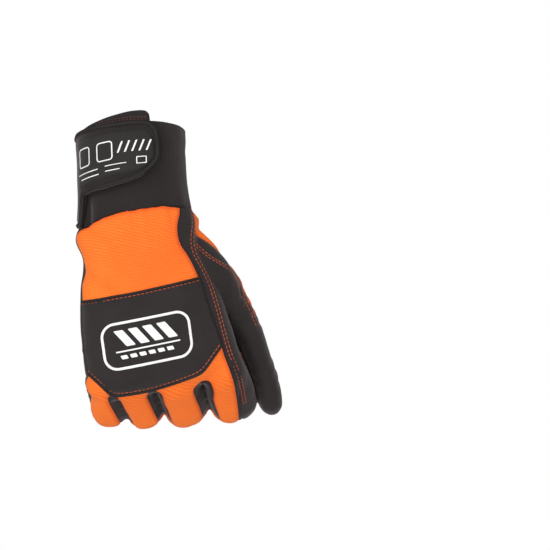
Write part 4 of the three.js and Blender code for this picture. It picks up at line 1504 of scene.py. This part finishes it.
# place and across, in millimetres, of the long seam beside the orange back and of the thumb's seam
SIDE_STITCH = [
    (0, 36.6), (5.6, 36.6), (13.1, 35.6), (21.2, 32.8), (30.7, 32.6), (39.8, 35.7), (50.4, 38.6),
    (64.8, 40.4), (82.7, 41.7), (97.2, 42.6), (110, 44.6), (116.9, 46.2), (127.5, 47.8), (135.8, 48.2),
    (151, 48.0), (175, 48.0),
]
THUMB_STITCH = [
    (22, 34), (34.3, 43.5), (41.5, 51.5), (48.6, 58.5), (57.4, 61.8), (67.9, 63.6), (77.6, 66.6),
    (92.3, 69.7),
]
SEAM_PANELS = ("index_side", "thumb", "palm")
# how far from the seam or the edge each row of stitches is, in millimetres
SEAM_ROWS = (0, 2.0)
CAP_ROWS = (1.6, 3.8)
GRIP_ROWS = (1.7, 3.9)
FLAP_ROWS = (3.0, 5.2)
TONGUE_ROWS = (-0.2, -1.9)
STRAP_ROW = 3.2
PATCH_ROW = 2.3


def on_tongue(cloth):
    return inside_all(flap_value(cloth) - 1.0, 26 - cloth["cloth"][:, 0])


def on_patch(cloth):
    return inside_all(side_seam(cloth) - 2.0, index_seam(cloth) - 0.8)


def on_side_seam(cloth):
    s, _, palm = cloth["hand"].T
    return inside_all(s - 1, 9 - palm, 176 - s)


def on_thumb_seam(cloth):
    s = cloth["hand"][:, 0]
    return inside_all(s - 24, 92 - s, 2 - cloth["thumb"][:, 1])


def seam_rows():
    """The double rows beside the back, beside the thumb, on the caps and on the grips."""
    rows = []
    for name in SEAM_PANELS:
        cloth = panels[name]
        s, across, _ = cloth["hand"].T
        for offset in SEAM_ROWS:
            rows += cloth.line(across - curve(SIDE_STITCH, 1, s) - offset, on_side_seam)
            rows += cloth.line(across - curve(THUMB_STITCH, 1, s) + offset - 0.5, on_thumb_seam)
    for name, finger in FINGERS.items():
        cloth = panels[f"{name}_cap"]
        for offset in CAP_ROWS:
            rows += cloth.line(cloth[name][:, 0] - finger["cap_start"] - offset)
    for name, value_of in GRIPS.items():
        for offset in GRIP_ROWS:
            rows += grips[name].line(value_of(grips[name]) - offset)
    return rows


flap_inside = flap_value(flap)
tongue_rows = [line for down in TONGUE_ROWS for line in flap.line(flap["cloth"][:, 1] - down, on_tongue)]
edging("strap_edge", strap.line(strap_value(strap) - 1.25), EDGE, width=2.7, height=2.5, lift=-0.55)
edging("flap_edge", flap.line(flap_inside - 0.9), EDGE, width=1.9, height=2.1, lift=-0.7)
stitches("strap_stitches", strap.line(strap_value(strap) - STRAP_ROW), DARK_THREAD, *STRAP_STITCH)
stitches("tongue_seam", tongue_rows, BROWN_THREAD, *TONGUE_STITCH)
flap_rows = [line for offset in FLAP_ROWS for line in flap.line(flap_inside - offset)]
stitches("flap_stitches", flap_rows, DARK_THREAD, *FLAP_STITCH)
edging("patch_edge", patch.line(patch_edge(patch) - 0.7, on_patch), EDGE, width=1.7, height=1.8, lift=-0.15)
stitches("patch_stitches", patch.line(patch_edge(patch) - PATCH_ROW, on_patch), THREAD, *ORANGE_STITCH)
stitches("seam_stitches", seam_rows(), THREAD, *ORANGE_STITCH)

# ---------------------------------------------------------------- light and floor

# place, what it looks at, size in metres, power
LIGHTS = {
    "key_light": ((-0.55, -1.1, 0.45), (0, 0, -0.1), 0.9, 7.5),
    "fill_light": ((0.9, -0.9, 0.1), (0, 0, -0.1), 1.0, 3.5),
    "low_light": ((-0.3, -0.95, -0.6), (0, 0, -0.18), 0.7, 6),
}
WHITE = (1, 1, 1, 1)
ROOM_LIGHT = 0.52
FLOOR_SIZE = 8
FLOOR_PLACE = (0, 0, -0.75)


def area_light(name, place, target, size, power):
    data = bpy.data.lights.new(name, "AREA")
    data.shape, data.size, data.energy = "SQUARE", size, power
    made = bpy.data.objects.new(name, data)
    made.location = place
    made.rotation_euler = (Vector(target) - Vector(place)).to_track_quat("-Z", "Y").to_euler()
    bpy.context.scene.collection.objects.link(made)


def set_world():
    """An even white room, seen as plain white behind the glove."""
    world = bpy.data.worlds.new("world")
    bpy.context.scene.world = world
    world.use_nodes = True
    tree = world.node_tree
    seen = tree.nodes.new("ShaderNodeBackground")
    seen.inputs[0].default_value = WHITE
    seen.inputs[1].default_value = 1.0
    soft = tree.nodes["Background"]
    soft.inputs[0].default_value = WHITE
    soft.inputs[1].default_value = ROOM_LIGHT
    rays = tree.nodes.new("ShaderNodeLightPath")
    blend = tree.nodes.new("ShaderNodeMixShader")
    tree.links.new(rays.outputs["Is Camera Ray"], blend.inputs[0])
    tree.links.new(soft.outputs[0], blend.inputs[1])
    tree.links.new(seen.outputs[0], blend.inputs[2])
    tree.links.new(blend.outputs[0], tree.nodes["World Output"].inputs[0])


def lay_floor():
    bpy.ops.object.select_all(action="DESELECT")
    bpy.ops.mesh.primitive_plane_add(size=FLOOR_SIZE, location=FLOOR_PLACE)
    floor = bpy.context.object
    floor.name = "floor"
    look = Look("floor", Roughness=0.9)
    look.give(Base_Color=(0.9, 0.9, 0.9, 1))
    floor.data.materials.append(look.material)


for light_name, light in LIGHTS.items():
    area_light(light_name, *light)
set_world()
lay_floor()
bpy.context.scene.view_settings.view_transform = "Standard"
